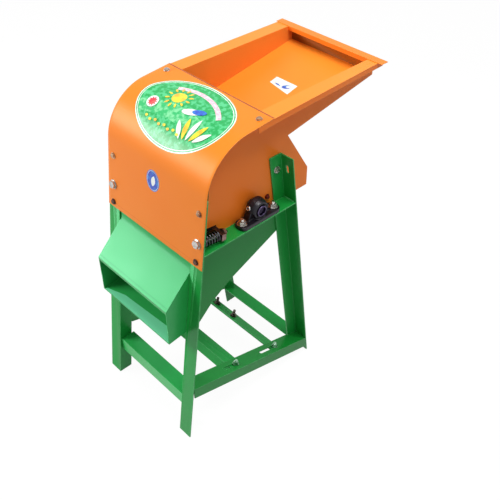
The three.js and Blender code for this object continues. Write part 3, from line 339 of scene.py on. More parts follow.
# The funnel sheets take the darker green, painted shade.
for node in ("funnel_side_right", "funnel_side_left", "funnel_floor"):
    finished(cad_copy(node, sheet_edge), f"{node}_sheet", painted_shade_green, "green_paint", "frame", node)
chute_low, chute_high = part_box("kernel_chute")
mouth_height = chute_low.z + 60 * mm
chute_mesh = cad_copy("kernel_chute", sheet_edge)
# The mouth's up-facing floor faces take the lighter green, painted light.
for face in chute_mesh.faces:
    face.material_index = 1 if face.normal.z > 0.9 and face.calc_center_median().z < mouth_height else 0
finished(chute_mesh, "kernel_chute_sheet", [lighter_chute_green, painted_light_green], "green_paint", "frame", "kernel_chute")


def dropped_on(node, x, y, drop_from):
    """Where a plumb line from a height meets a CAD node, and the way its surface faces there."""
    mesh = frame["nodes"][node].data
    tree = BVHTree.FromPolygons([v.co for v in mesh.vertices], [p.vertices for p in mesh.polygons])
    return tree.ray_cast(Vector((x, y, drop_from)), Vector((0, 0, -1)))[:2]


film_lift = 0.12 * mm


def laid_on_chute(outline, drop_from, name, coat):
    """A thin film on the chute, cut to an outline in X and Y and dropped on it from a height."""
    bm = bmesh.new()
    for x, y in outline:
        spot, facing = dropped_on("kernel_chute", x, y, drop_from)
        bm.verts.new(spot + facing * film_lift)
    bm.faces.new(bm.verts[:])
    bm.normal_update()
    if bm.faces[:][0].normal.z < 0:
        bmesh.ops.reverse_faces(bm, faces=bm.faces[:])
    finished(bm, name, coat, "green_paint", "frame")


# A pale mint film on the chute's mouth floor, widening to the right: a painted pool of direct light falling
# in under the top's front edge.
painted_light_patch_green = gloss_paint("painted_light_patch_paint", (138, 255, 196), (126, 246, 184), (170, 255, 210), 0.4,
                            (0.5, 1.0, 0.8), 1.8 * mm)
# A darker green line across the chute, 5 mm behind its front edge: painted shade in the fold of the hem.
painted_crease_shade_green = gloss_paint("painted_crease_shade_paint", (34, 150, 74), (34, 150, 74), (34, 150, 74), 0.4,
                           light_green_gleam, 0.3 * mm, 0.62)
above_all = 1
left, right, front = chute_low.x, chute_high.x, chute_low.y
# The painted light patch on the mouth floor.
laid_on_chute([(left + 4 * mm, front + 1 * mm), (right - 3 * mm, front + 1 * mm),
               (right - 3 * mm, front + 33 * mm), (left + 60 * mm, front + 22 * mm),
               (left + 8 * mm, front + 6 * mm)], mouth_height, "chute_painted_light_patch", painted_light_patch_green)
# The painted shade line along the hem's fold.
laid_on_chute([(left + 4 * mm, front + 5.2 * mm), (right - 4 * mm, front + 5.2 * mm),
               (right - 4 * mm, front + 6.2 * mm), (left + 4 * mm, front + 6.2 * mm)],
              above_all, "chute_hem_painted_shade", painted_crease_shade_green)


# The hood: one sheet of 1.5 mm steel, rolled over the drum from the front legs to the tray, with the
# slight waves that thin sheet has, sprayed orange. It is screwed to the legs and the tray's flanges.
orange_gleam = (1.0, 0.8, 0.5)
# The pale edge tone of the orange paints: rubbed paint and a painted highlight along the edges.
rubbed_and_lit_edge = (255, 184, 100)
orange_paint = gloss_paint("orange_gloss_paint", (250, 138, 40), (248, 131, 35), rubbed_and_lit_edge, 0.36,
                           orange_gleam, 1.2 * mm, 0.35)
leg_lean = math.radians(7.75)
roof_rise = math.radians(5)
lean_slope = math.tan(leg_lean)
rise_slope = math.tan(roof_rise)
bend_radius = 125 * mm
hood_wall = 1.5 * mm
hood_low, hood_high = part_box("hood")
corner_z = (hood_high.z - rise_slope * (hood_high.y - hood_low.y + hood_low.z * lean_slope)) \
    / (1 - rise_slope * lean_slope)
corner_y = hood_low.y + (corner_z - hood_low.z) * lean_slope
bend_turn = math.pi / 2 - leg_lean - roof_rise
tangent = bend_radius * math.tan(bend_turn / 2)
front_length = (corner_z - hood_low.z) / math.cos(leg_lean) - tangent
bend_length = bend_radius * bend_turn
roof_length = (hood_high.y - corner_y) / math.cos(roof_rise) - tangent
hood_length = front_length + bend_length + roof_length
bend_start = Vector((0, hood_low.y + front_length * math.sin(leg_lean),
                     hood_low.z + front_length * math.cos(leg_lean)))
bend_centre = bend_start + bend_radius * Vector((0, math.cos(leg_lean), -math.sin(leg_lean)))


def on_hood(x, along, lift=0.0):
    """A place on the hood: x across, along from the front's lower edge, lifted off the sheet."""
    turn = min(max(along - front_length, 0) / bend_radius, bend_turn)
    angle = math.pi - leg_lean - turn
    outward = Vector((0, math.cos(angle), math.sin(angle)))
    onward = Vector((0, math.sin(angle), -math.cos(angle)))
    straight = min(along - front_length, 0) + max(along - front_length - bend_length, 0)
    place = bend_centre + outward * (bend_radius + lift) + onward * straight
    return Vector((x, place.y, place.z))


wave_height = 0.35 * mm
still_side = 45 * mm
still_end = 40 * mm


def sheet_wave(x, along):
    """How far the thin sheet bulges: gentle waves that die out at its screwed edges."""
    hold = min(1, (hood_high.x - x) / still_side, (x - hood_low.x) / still_side, along / still_end,
               (hood_length - along) / still_end)
    return wave_height * hold * noise.noise(Vector((x * 9, along * 7, 3.1)))


hood = bmesh.new()
bmesh.ops.create_grid(hood, x_segments=40, y_segments=110, size=0.5)
for vert in hood.verts:
    x = hood_low.x + (vert.co.x + 0.5) * (hood_high.x - hood_low.x)
    along = (vert.co.y + 0.5) * hood_length
    vert.co = on_hood(x, along, sheet_wave(x, along))
bmesh.ops.recalc_face_normals(hood, faces=hood.faces[:])
if sum((f.normal.dot(Vector((0, -1, 1))) > 0) - 0.5 for f in hood.faces) < 0:
    bmesh.ops.reverse_faces(hood, faces=hood.faces[:])
hood_sheet = finished(hood, "hood_sheet", orange_paint, "orange_paint", "frame", "hood")
wall_step = hood_sheet.modifiers.new("sheet_wall", "SOLIDIFY")
wall_step.thickness = hood_wall
wall_step.offset = -1
hood_sheet.modifiers.move(1, 0)


# The stickers on the hood: printed vinyl, pressed on to the sheet and bent with it. The large one shows
# a sun over fields with young leaves, and the small round one a plain drop.
def vinyl(name, colour, second, scale):
    finish, tree, shader, place = new_finish(name)
    tree.links.new(mixed(tree, spread(tree, grain(tree, place, scale, 2), 0.45, 0.62), colour, second),
                   shader.inputs["Base Color"])
    tree.links.new(spread(tree, grain(tree, place, 40), 0.3, 0.7, 0.22, 0.34), shader.inputs["Roughness"])
    raised(tree, shader, grain(tree, place, 300), 0.05 * mm, 0.2)
    return finish


vinyls = [
    vinyl("vinyl_white", (246, 250, 246), (228, 240, 232), 60),
    vinyl("vinyl_green", (22, 168, 84), (84, 204, 136), 110),
    vinyl("vinyl_field_green", (52, 186, 108), (130, 220, 158), 90),
    vinyl("vinyl_yellow", (250, 226, 60), (244, 186, 60), 50),
    vinyl("vinyl_pink", (244, 190, 206), (252, 232, 236), 160),
    vinyl("vinyl_blue", (52, 84, 196), (40, 130, 214), 80),
    vinyl("vinyl_red", (226, 62, 76), (236, 104, 96), 80),
]
WHITE, GREEN, FIELD, YELLOW, PINK, BLUE, RED = range(7)


def swung(x, along, turn, rim):
    """A place at rim from a root at x and along, turned round the root."""
    flat = Matrix.Rotation(turn, 2) @ Vector(rim)
    return x + flat.x, along + flat.y


def ellipse(x, along, half_width, half_height, turn=0.0, points=64):
    angles = [math.tau * step / points for step in range(points)]
    return [swung(x, along, turn, (half_width * math.cos(a), half_height * math.sin(a))) for a in angles]


def star(x, along, outer, inner, points):
    tips = [(reach, math.pi * step / points) for step, reach in enumerate((outer, inner) * points)]
    return [(x + reach * math.sin(a), along + reach * math.cos(a)) for reach, a in tips]


def band(centre_x, centre_along, radius, width, start, end, points=30):
    """A bowed stripe, angles in degrees from the x direction."""
    angles = [math.radians(start + (end - start) * step / points) for step in range(points + 1)]
    outer, inner = [[(centre_x + reach * math.cos(a), centre_along + reach * math.sin(a)) for a in angles]
                    for reach in (radius + width, radius)]
    return outer + inner[::-1]


def leaf(x, along, length, width, turn):
    """A pointed blade, its root at a place."""
    sides = []
    for side, steps in ((1, range(0, 13)), (-1, range(11, 0, -1))):
        for step in steps:
            share = step / 12
            half = side * width * math.sin(math.pi * share) ** 0.8
            sides.append(swung(x, along, turn, (length * share, half)))
    return sides


def joined(*meshes):
    whole = bmesh.new()
    for bm in meshes:
        mesh = bpy.data.meshes.new("part")
        bm.to_mesh(mesh)
        bm.free()
        whole.from_mesh(mesh)
        bpy.data.meshes.remove(mesh)
    return whole


first_lift = 0.08 * mm
layer_lift = 0.07 * mm


def pressed_on(layers, place_of, step=3.5):
    """Cut outlines, given in mm, out of vinyl fine enough to bend, and lay them on in their order."""
    films = []
    for level, (outline, colour) in enumerate(layers):
        bm = bmesh.new()
        bm.faces.new([bm.verts.new((x * mm, along * mm, 0)) for x, along in outline])
        low = min(along for x, along in outline)
        high = max(along for x, along in outline)
        cuts = int((high - low) / step)
        for cut in range(1, cuts + 1):
            cut_along = (low + (high - low) * cut / (cuts + 1)) * mm
            bmesh.ops.bisect_plane(bm, geom=bm.verts[:] + bm.edges[:] + bm.faces[:],
                                   plane_co=(0, cut_along, 0), plane_no=(0, 1, 0))
        bmesh.ops.recalc_face_normals(bm, faces=bm.faces[:])
        for face in bm.faces:
            face.material_index = colour
            if face.normal.z < 0:
                face.normal_flip()
        for vert in bm.verts:
            vert.co = place_of(vert.co.x, vert.co.y, first_lift + layer_lift * level)
        films.append(bm)
    return joined(*films)


middle_x = hood_low.x / 2 + hood_high.x / 2


def on_hood_print(x, along, lift):
    return on_hood(middle_x + x, along, sheet_wave(middle_x + x, along) + lift)


sun_x = -38
sun_along = 340
sun_rays = [(leaf(sun_x + 21 * math.cos(a), sun_along + 21 * math.sin(a), 13, 2.6, a), YELLOW)
            for a in [math.tau * ray / 12 for ray in range(12)]]
corn_leaves = [(leaf(62 + 9 * k, 262 + 2 * k, 56 - 5 * abs(k), 6, math.radians(88 - 20 * k)), colour)
               for k, colour in ((-2, WHITE), (-1, YELLOW), (0, WHITE), (1, YELLOW), (2, WHITE))]
sign_x = 1
sign_along = 317


def field(start, end, bow, shrink=0.985):
    """The part of the sign's inside under a bowed line between two places of its edge, in degrees."""
    edge = [(sign_x + shrink * 124 * math.cos(math.radians(a)),
             sign_along + shrink * 87 * math.sin(math.radians(a)))
            for a in [start + (end - start) * k / 36 for k in range(37)]]
    (x0, along0), (x1, along1) = edge[-1], edge[0]
    crest = [(x0 + (x1 - x0) * k / 20,
              along0 + (along1 - along0) * k / 20 + bow * math.sin(math.pi * k / 20)) for k in range(1, 20)]
    return edge + crest


hood_layers = [
    *[(ellipse(sign_x, sign_along, half_width, half_width - 37), colour)
      for half_width, colour in ((132, WHITE), (129.4, GREEN), (126.6, WHITE), (124.8, GREEN))],
    (field(196, 344, 30), FIELD),
    (field(214, 322, 16), GREEN),
    (band(-6, 245, 128, 11, 44, 118), PINK),
    (ellipse(sun_x, sun_along, 17, 17), YELLOW),
    *sun_rays,
    (ellipse(24, 322, 24, 9, math.radians(20)), WHITE),
    (ellipse(40, 330, 17, 8, math.radians(20)), BLUE),
    (ellipse(-82, 300, 15, 15), WHITE),
    (star(-82, 300, 13, 8, 10), RED),
    *corn_leaves,
    *[(ellipse(-70 + 15 * k, 268 - 4 * (k % 2), 4.2, 3), YELLOW) for k in range(8)],
]
finished(pressed_on(hood_layers, on_hood_print), "hood_sticker", vinyls, "orange_paint", "frame")
dot_x = -4.5
dot_along = 139.5
dot_layers = [
    *[(ellipse(dot_x, dot_along, half_width, half_width + 3.5), colour)
      for half_width, colour in ((22, BLUE), (20, WHITE), (19, BLUE))],
    (leaf(dot_x - 1, dot_along - 14, 27, 7, math.radians(80)), WHITE),
]
finished(pressed_on(dot_layers, on_hood_print), "hood_blue_dot", vinyls, "orange_paint", "frame")


def hood_stripe(half_width, start, end, name, coat):
    """A narrow mark across the hood, between two places along it, in mm."""
    outline = [(-half_width, start), (half_width, start), (half_width, end), (-half_width, end)]
    finished(pressed_on([(outline, 0)], on_hood_print), name, coat, "orange_paint", "frame")


# A dark brown stripe along the roof's rear edge: a painted shadow of the gap where the hood's edge lies over
# the tray's flange.
painted_shadow_brown = vinyl("painted_shadow_brown", (176, 88, 26), (150, 74, 22), 90)
hood_stripe(169, hood_length / mm - 3.6, hood_length / mm - 0.2, "hood_roof_edge_painted_shadow", painted_shadow_brown)
# A darker orange line 11 mm above the hood's lower edge: painted shade along the fold of its hem.
painted_fold_shade_orange = gloss_paint("painted_fold_shade_orange_paint", (236, 118, 28), (236, 118, 28), (236, 118, 28), 0.4,
                          orange_gleam, 0.3 * mm, 0.35)
hood_stripe(150, 11, 12.2, "hood_hem_painted_shade", painted_fold_shade_orange)


# The side panels, the feed tray and the cob outlet: 1.5 mm sheet with folded flanges. The side panels
# run on behind the legs as the tray's walls, and a small white label sticks on the tray's floor.
thin_edge = 0.35 * mm
# A redder copy of the orange for the right panel's outer faces, painted shade: the tint that side takes in
# shade. The left panel keeps the plain orange.
shaded_side_orange = gloss_paint("shaded_side_orange_gloss_paint", (255, 130, 36), (253, 123, 32), rubbed_and_lit_edge, 0.36,
                         orange_gleam, 1.2 * mm, 0.35)
# A paler, greyer orange for the panels' inward faces.
inner_face_orange = gloss_paint("inner_face_orange_paint", (242, 141, 56), (237, 134, 50), rubbed_and_lit_edge, 0.4,
                           orange_gleam, 0.8 * mm, 0.3)
# A lighter copy of the orange for up-facing faces, the panels' rims and the tray floor: painted light.
painted_light_orange = gloss_paint("painted_light_orange_paint", (255, 150, 48), (253, 142, 40), rubbed_and_lit_edge, 0.36,
                            orange_gleam, 0.8 * mm, 0.35)
# A dark brown-orange for the tray's back wall under the rim: painted shade in the recess behind the rim's
# lip.
painted_shade_orange = gloss_paint("painted_shade_orange_paint", (172, 98, 24), (154, 84, 20), (190, 112, 44), 0.5,
                            orange_gleam, 0.5 * mm, 0.2)
for node in ("outlet_cover", "outlet_floor"):
    finished(cad_copy(node, thin_edge), f"{node}_sheet", orange_paint, "orange_paint", "frame", node)
rim_lip_growth = 5 * mm
rim_lip_depth = 7 * mm
rim_lip_reach = 4 * mm
rim_start = -41 * mm
# The right panel's outer faces take the redder orange, painted shade.
for side, way, rim_taper, outer_coat in (("right", 1, 14 * mm, shaded_side_orange),
                                         ("left", -1, 4 * mm, orange_paint)):
    panel_low, panel_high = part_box(f"side_panel_{side}")
    rim_edge = panel_high.x if way == 1 else panel_low.x
    panel = cad_copy(f"side_panel_{side}", thin_edge)
    # Inward faces get the paler, greyer orange; up-facing rims get the lighter orange, painted light.
    for face in panel.faces:
        face.material_index = 1 if face.normal.x * way < -0.9 else 2 if face.normal.z > 0.9 else 0
    for vert in panel.verts:
        if abs(vert.co.x - rim_edge) < rim_lip_reach:
            if vert.co.z < panel_high.z - rim_lip_depth:
                vert.co.z -= rim_lip_growth
            vert.co.x -= way * rim_taper * max(0, (vert.co.y - rim_start) / (panel_high.y - rim_start))
    finished(panel, f"side_panel_{side}_sheet", [outer_coat, inner_face_orange, painted_light_orange], "orange_paint",
             "frame", f"side_panel_{side}")
tray_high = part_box("feed_tray")[1]
back_wall_depth = 12 * mm
back_wall_area = 500 * mm * mm
floor_depth = 10 * mm
tray_mesh = cad_copy("feed_tray", thin_edge)
# The back wall's inner face under the rim takes the dark orange, painted shade; the tray floor takes the
# lighter orange, painted light.
for face in tray_mesh.faces:
    spot = face.calc_center_median()
    if face.normal.y < -0.9 and spot.y > tray_high.y - back_wall_depth and face.calc_area() > back_wall_area:
        face.material_index = 1
    if face.normal.z > 0.9 and spot.z < tray_high.z - floor_depth:
        face.material_index = 2
finished(tray_mesh, "feed_tray_sheet", [orange_paint, painted_shade_orange, painted_light_orange], "orange_paint", "frame",
         "feed_tray")

floor_slope = math.radians(9.6)
label_y = 161 * mm
label_place = dropped_on("feed_tray", middle_x, label_y, above_all)[0]


def on_tray_floor(x, along, lift):
    outward = Vector((0, -math.sin(floor_slope), math.cos(floor_slope)))
    onward = Vector((0, math.cos(floor_slope), math.sin(floor_slope)))
    return label_place + Vector((x, 0, 0)) + onward * along + outward * lift


label_layers = [
    ([(-38, -8), (31, -20), (28, 18), (-40, 18)], WHITE),
    (ellipse(9, 0, 11, 7, math.radians(30)), BLUE),
    (ellipse(13, 3, 6, 3.5, math.radians(30)), WHITE),
    (leaf(-26, -3, 20, 2, math.radians(-6)), BLUE),
]
finished(pressed_on(label_layers, on_tray_floor), "tray_label", vinyls, "orange_paint", "frame")


# The pillow block bearings: a grey iron casting, painted black, with a domed barrel on a long foot, a
# grease plug on the front of the barrel, and a steel inner ring that turns with the shaft.
def metal(name, colour, second, roughness, grain_scale, depth, polish=1.0):
    finish, tree, shader, place = new_finish(name)
    shader.inputs["Metallic"].default_value = polish
    clouds = spread(tree, grain(tree, place, grain_scale / 6, 3), 0.35, 0.65)
    tree.links.new(mixed(tree, clouds, colour, second), shader.inputs["Base Color"])
    sheen = spread(tree, grain(tree, place, grain_scale / 3, 3), 0.3, 0.7, roughness - 0.08, roughness + 0.1)
    tree.links.new(sheen, shader.inputs["Roughness"])
    raised(tree, shader, grain(tree, place, grain_scale, 3, 0.65), depth, 0.5)
    return finish


black_paint = metal("black_gloss_on_iron", (14, 13, 17), (22, 19, 28), 0.34, 500, 0.25 * mm, polish=0.0)
for socket, value in (("Coat Weight", 0.2), ("Specular IOR Level", 0.3), ("Coat Roughness", 0.2),
                      ("Coat Tint", (0.8, 0.7, 1.0, 1))):
    black_paint.node_tree.nodes["Principled BSDF"].inputs[socket].default_value = value
ring_steel = metal("ground_ring_steel", (92, 80, 110), (62, 54, 78), 0.26, 900, 0.03 * mm)
seal_steel = metal("black_seal_steel", (34, 32, 38), (24, 22, 28), 0.4, 700, 0.04 * mm, polish=0.3)
zinc_plate = metal("zinc_plate", (206, 204, 200), (168, 164, 158), 0.24, 700, 0.05 * mm)
turned_steel = metal("turned_steel", (150, 150, 154), (122, 120, 122), 0.32, 800, 0.04 * mm)


def turned(profile, axis_place=Vector((0, 0, 0)), axis=(0, 0, 1), steps=40):
    """Spin a profile of (radius, along) points round an axis."""
    bm = bmesh.new()
    axis = Vector(axis).normalized()
    outward = axis.orthogonal().normalized()
    verts = [bm.verts.new(axis_place + outward * radius + axis * along) for radius, along in profile]
    edges = [bm.edges.new(pair) for pair in zip(verts, verts[1:])]
    bmesh.ops.spin(bm, geom=verts + edges, cent=axis_place, axis=axis, angle=math.tau, steps=steps,
                   use_merge=True, use_duplicate=False)
    bmesh.ops.remove_doubles(bm, verts=bm.verts[:], dist=same_place)
    bmesh.ops.recalc_face_normals(bm, faces=bm.faces[:])
    return bm


def in_mm(profile):
    return [(radius * mm, along * mm) for radius, along in profile]


def block(x0, x1, y0, y1, z0, z1):
    bm = bmesh.new()
    bmesh.ops.create_cube(bm, size=1)
    bmesh.ops.scale(bm, vec=(x1 - x0, y1 - y0, z1 - z0), verts=bm.verts[:])
    bmesh.ops.translate(bm, vec=((x0 + x1) / 2, (y0 + y1) / 2, (z0 + z1) / 2), verts=bm.verts[:])
    return bm


def shaped(piece):
    """Put a piece's modifiers into its mesh."""
    bpy.context.view_layer.update()
    mesh = bpy.data.meshes.new_from_object(piece.evaluated_get(bpy.context.evaluated_depsgraph_get()))
    piece.modifiers.clear()
    piece.data = mesh
    return piece


def cast(bm, name, voxel, smoothing):
    """Melt overlapping shapes into one casting with soft inner corners, as a new mesh."""
    rough = bpy.data.meshes.new(name)
    bm.to_mesh(rough)
    bm.free()
    mould = bpy.data.objects.new(name, rough)
    scene.collection.objects.link(mould)
    melt = mould.modifiers.new("melt", "REMESH")
    melt.mode = "VOXEL"
    melt.voxel_size = voxel
    calm = mould.modifiers.new("calm", "SMOOTH")
    calm.iterations = smoothing
    shaped(mould)
    bm = bmesh.new()
    bm.from_mesh(mould.data)
    bpy.data.objects.remove(mould)
    return bm


shaft_place = Vector(next(j for j in frame["joints"] if j["name"] == "drum_spin")["pos_m"])


def on_shaft(x):
    return Vector((x, shaft_place.y, shaft_place.z))


casting_skin = 0.4 * mm
foot_height = 9.4 * mm
foot_corner = 13.5 * mm
bolt_offset = 47.5 * mm
barrel_radius = 26.6 * mm
neck_shift = 5 * mm
neck_half_wall = 8.6 * mm
neck_half_depth = 25 * mm
neck_flare = 1.36
plug_rise = math.radians(22)
plug_shift = 4 * mm
plug_sink = 1.4 * mm
plug_socket = 2.8 * mm
for side, way in (("right", 1), ("left", -1)):
    low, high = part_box(f"bearing_housing_{side}")
    middle = on_shaft((low.x + high.x) / 2)
    half_foot = (high.y - low.y) / 2 - casting_skin
    half_width = (high.x - low.x) / 2 - casting_skin
    foot = block(middle.x - half_width, middle.x + half_width, middle.y - half_foot, middle.y + half_foot,
                 low.z, low.z + foot_height)
    rounded(foot, [e for e in foot.edges if abs(e.verts[0].co.z - e.verts[1].co.z) > mm], foot_corner, 6,
            clamp=False)
    bosses = [turned(in_mm([(0, 0), (11.5, 0), (10.5, 10.2), (0, 10.2)]),
                     Vector((middle.x, middle.y + end * bolt_offset, low.z)), (0, 0, 1)) for end in (1, -1)]
    barrel = turned([(0, -13.3 * mm), (20 * mm, -13.3 * mm), (24.5 * mm, -12 * mm), (barrel_radius, -9 * mm),
                     (barrel_radius, -5 * mm), *in_mm([(25.8, -1.5), (24.2, 4), (22.2, 9), (20.6, 12),
                                                       (18.6, 13.3), (0, 13.3)])], middle, (way, 0, 0), 48)
    neck_x = middle.x - way * neck_shift
    neck = block(neck_x - neck_half_wall, neck_x + neck_half_wall, middle.y - neck_half_depth,
                 middle.y + neck_half_depth, low.z + 2 * mm, middle.z)
    for vert in neck.verts:
        if vert.co.z < middle.z - 10 * mm:
            vert.co.y = middle.y + (vert.co.y - middle.y) * neck_flare
    housing = cast(joined(foot, *bosses, barrel, neck), "casting", 0.9 * mm, 5)
    housing_piece = finished(housing, f"bearing_housing_{side}_casting", black_paint, "black_cast", "frame",
                             f"bearing_housing_{side}", sharp=70)
    bore_cutter = bpy.data.objects.new("bore", bpy.data.meshes.new("bore"))
    bore = turned(in_mm([(0, -20), (14.6, -20), (14.6, 20), (0, 20)]), middle, (1, 0, 0), 64)
    seal_seat = turned(in_mm([(0, 10.6), (17.6, 10.6), (17.6, 20), (0, 20)]), middle, (way, 0, 0), 64)
    joined(bore, seal_seat).to_mesh(bore_cutter.data)
    scene.collection.objects.link(bore_cutter)
    drill = housing_piece.modifiers.new("bore", "BOOLEAN")
    drill.object = bore_cutter
    drill.solver = "EXACT"
    drill.use_self = True
    housing_piece.modifiers.move(1, 0)
    shaped(housing_piece)
    bpy.data.objects.remove(bore_cutter)
    seal = turned(in_mm([(14.5, 9), (17.4, 9), (17.4, 12), (16.6, 12.4), (15.4, 11.6), (14.5, 11.2),
                         (14.5, 9)]), middle, (way, 0, 0), 48)
    finished(seal, f"bearing_seal_{side}", seal_steel, "plain_steel", "frame")
    ring_low, ring_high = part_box(f"bearing_inner_ring_{side}")
    half_ring = (ring_high.x - ring_low.x) / 2
    ring = turned([(10.3 * mm, -half_ring), (12.6 * mm, -half_ring), (13.8 * mm, -half_ring + 1.2 * mm),
                   (14.0 * mm, half_ring - 1.2 * mm), (12.8 * mm, half_ring), (10.9 * mm, half_ring),
                   (10.3 * mm, half_ring - 0.6 * mm), (10.3 * mm, -half_ring)], middle, (1, 0, 0), 48)
    finished(ring, f"bearing_inner_ring_{side}_ground", ring_steel, "plain_steel", "drum",
             f"bearing_inner_ring_{side}")
    plug_way = Vector((0, -math.cos(plug_rise), math.sin(plug_rise)))
    plug_place = middle - Vector((way * plug_shift, 0, 0)) + plug_way * (barrel_radius - plug_sink)
    plug = turned(in_mm([(0, 0), (5.6, 0), (5.6, 2.6), (5.0, 3.4), (3.4, 3.4), (2.9, 2.9), (2.9, 0.8),
                         (0, 0.8)]), plug_place, plug_way, 24)
    for face in plug.faces:
        spot = face.calc_center_median() - plug_place
        along = spot.dot(plug_way)
        face.material_index = 1 if (spot - plug_way * along).length < plug_socket else 0
    finished(plug, f"grease_plug_{side}", [zinc_plate, seal_steel], "zinc", "frame")


# The bolts and screws: zinc plated steel with hexagon heads and nuts, plain washers under both, and
# rolled threads. The motor's loose bolts and the adjusting nuts are old stock, darkened by oil and rust.
rusty_steel = metal("rusty_steel", (112, 78, 64), (64, 54, 48), 0.42, 600, 0.12 * mm, polish=0.8)
red_brown_steel = metal("red_brown_steel", (120, 34, 24), (74, 30, 24), 0.4, 600, 0.1 * mm, polish=0.7)
tarnished_zinc = metal("tarnished_zinc", (206, 178, 146), (136, 96, 74), 0.28, 260, 0.06 * mm)
sprayed_zinc = metal("zinc_under_green_spray", (176, 206, 186), (66, 132, 88), 0.26, 300, 0.06 * mm,
                     polish=0.8)
oily_steel = metal("oily_steel", (96, 92, 82), (44, 40, 34), 0.22, 360, 0.1 * mm, polish=0.9)


def axis_ends(node, direction):
    """Both ends of the axis of a CAD bolt or spring, in the order of the direction."""
    direction = Vector(direction).normalized()
    side = direction.orthogonal().normalized()
    other = direction.cross(side)
    points = [vert.co for vert in frame["nodes"][node].data.vertices]
    spans = {}
    for name, way in (("along", direction), ("side", side), ("other", other)):
        reach = [point.dot(way) for point in points]
        spans[name] = (min(reach), max(reach))
    middle = side * sum(spans["side"]) / 2 + other * sum(spans["other"]) / 2
    return middle + direction * spans["along"][0], middle + direction * spans["along"][1]


def hexagon(corner, start, depth, chamfer):
    """A bolt head or a nut along Z, with the edges of both ends chamfered as they ask."""
    bm = bmesh.new()
    bmesh.ops.create_cone(bm, cap_ends=True, segments=6, radius1=corner, radius2=corner, depth=depth)
    bmesh.ops.translate(bm, vec=(0, 0, start + depth / 2), verts=bm.verts[:])
    ends = [start] * ("low" in chamfer) + [start + depth] * ("high" in chamfer)
    rims = [e for e in bm.edges if any(all(abs(v.co.z - end) < 0.01 * mm for v in e.verts) for end in ends)]
    rounded(bm, rims, 0.13 * corner, profile=0.6, clamp=False)
    return bm


def washer(inner, outer, start, wall):
    soft = 0.2 * mm
    return turned([(inner, start), (outer - soft, start), (outer, start + soft),
                   (outer, start + wall - soft), (outer - soft, start + wall), (inner, start + wall),
                   (inner, start)], steps=28)


def threaded(shank, start, thread_start, end, pitch):
    """A shank along Z that turns into a thread of close ridges, with a chamfered end."""
    profile = [(0, start), (shank, start), (shank, thread_start)]
    ridge = thread_start
    while ridge + pitch < end - 0.6 * pitch:
        profile += [(shank - 0.55 * pitch, ridge + 0.5 * pitch), (shank, ridge + pitch)]
        ridge += pitch
    profile += [(shank - 0.7 * pitch, end), (0, end)]
    return turned(profile, steps=20)


def set_along(bm, place, direction, spin=0.0):
    """Move a mesh made along Z to a place, with Z along a direction."""
    turn = Vector(direction).to_track_quat("Z", "Y").to_matrix().to_4x4() @ Matrix.Rotation(spin, 4, "Z")
    bmesh.ops.transform(bm, matrix=Matrix.Translation(place) @ turn, verts=bm.verts[:])
    return bm


bolt_kinds = {
    "bearing": dict(shank=5.0, corner=9.0, head=6.5, nut=8.0, end=5.0, pitch=1.5, washer=12.0),
    "hood": dict(shank=3.0, corner=6.2, head=4.0, nut=5.0, end=3.0, pitch=1.0, washer=7.6),
    "panel": dict(shank=4.0, corner=7.4, head=5.5, nut=6.5, end=3.0, pitch=1.25, washer=8.8),
    "screen": dict(shank=3.6, corner=5.4, head=5.5, nut=6.5, end=3.0, pitch=1.25, washer=6.6),
    "foot": dict(shank=4.0, corner=7.8, head=5.5, nut=6.5, end=13.0, pitch=1.25, washer=9.4),
    "bar": dict(shank=4.0, corner=7.4, head=5.5, nut=6.5, end=6.0, pitch=1.25, washer=8.6),
}
washer_wall = 1.2 * mm


def bolt(kind, node, direction, body, finish, slot_name, spin=0.0):
    size = {key: value * mm for key, value in bolt_kinds[kind].items()}
    start, end = axis_ends(node, direction)
    length = (end - start).length
    nut_seat = length - size["end"] - size["nut"]
    parts = joined(
        hexagon(size["corner"], 0, size["head"] - washer_wall, ("low",)),
        washer(size["shank"] * 0.9, size["washer"], size["head"] - washer_wall, washer_wall),
        washer(size["shank"] * 0.9, size["washer"], nut_seat, washer_wall),
        hexagon(size["corner"], nut_seat + washer_wall, size["nut"] - washer_wall, ("low", "high")),
        threaded(size["shank"], size["head"] * 0.5, nut_seat, length, size["pitch"]),
    )
    finished(set_along(parts, start, direction, spin), f"{node}_made", finish, slot_name, body, node,
             sharp=32)


across_hood = Vector((0, math.cos(leg_lean), -math.sin(leg_lean)))
into_roof = Vector((0, math.sin(roof_rise), -math.cos(roof_rise)))
feet_depth = 438
rail_front_height = 170
rail_rear_height = 52
rail_run = feet_depth - lean_slope * (rail_front_height + rail_rear_height)
rail_fall = math.atan2(rail_front_height - rail_rear_height, rail_run)
square_to_rail = Vector((0, math.sin(rail_fall), math.cos(rail_fall)))
for side, way in (("right", 1), ("left", -1)):
    inward = Vector((-way, 0, 0))
    bolt("hood", f"hood_screw_low_{side}", across_hood, "frame", rusty_steel, "zinc", 0.3 * way)
    bolt("hood", f"hood_screw_high_{side}", across_hood, "frame", tarnished_zinc, "zinc", 0.1 * way)
    bolt("hood", f"hood_screw_roof_{side}", into_roof, "frame",
         zinc_plate if side == "left" else tarnished_zinc, "zinc", 0.2)
    bolt("panel", f"rear_leg_bolt_{side}", inward, "frame", zinc_plate, "zinc", 0.4)
    bolt("screen", f"screen_bolt_{side}", inward, "frame", red_brown_steel, "zinc", 0.15)
    for place in ("front", "rear"):
        bolt("bearing", f"bearing_bolt_{side}_{place}", Vector((0, 0, 1)), "frame", zinc_plate, "zinc", 0.25)
        bolt("bar", f"bar_clamp_bolt_{place}_{side}", square_to_rail, f"motor_bar_{place}", sprayed_zinc,
             "zinc", 0.35)
for place in ("inner", "outer"):
    bolt("foot", f"motor_foot_bolt_{place}", square_to_rail, "motor_bar_rear", oily_steel, "dark_steel", 0.5)


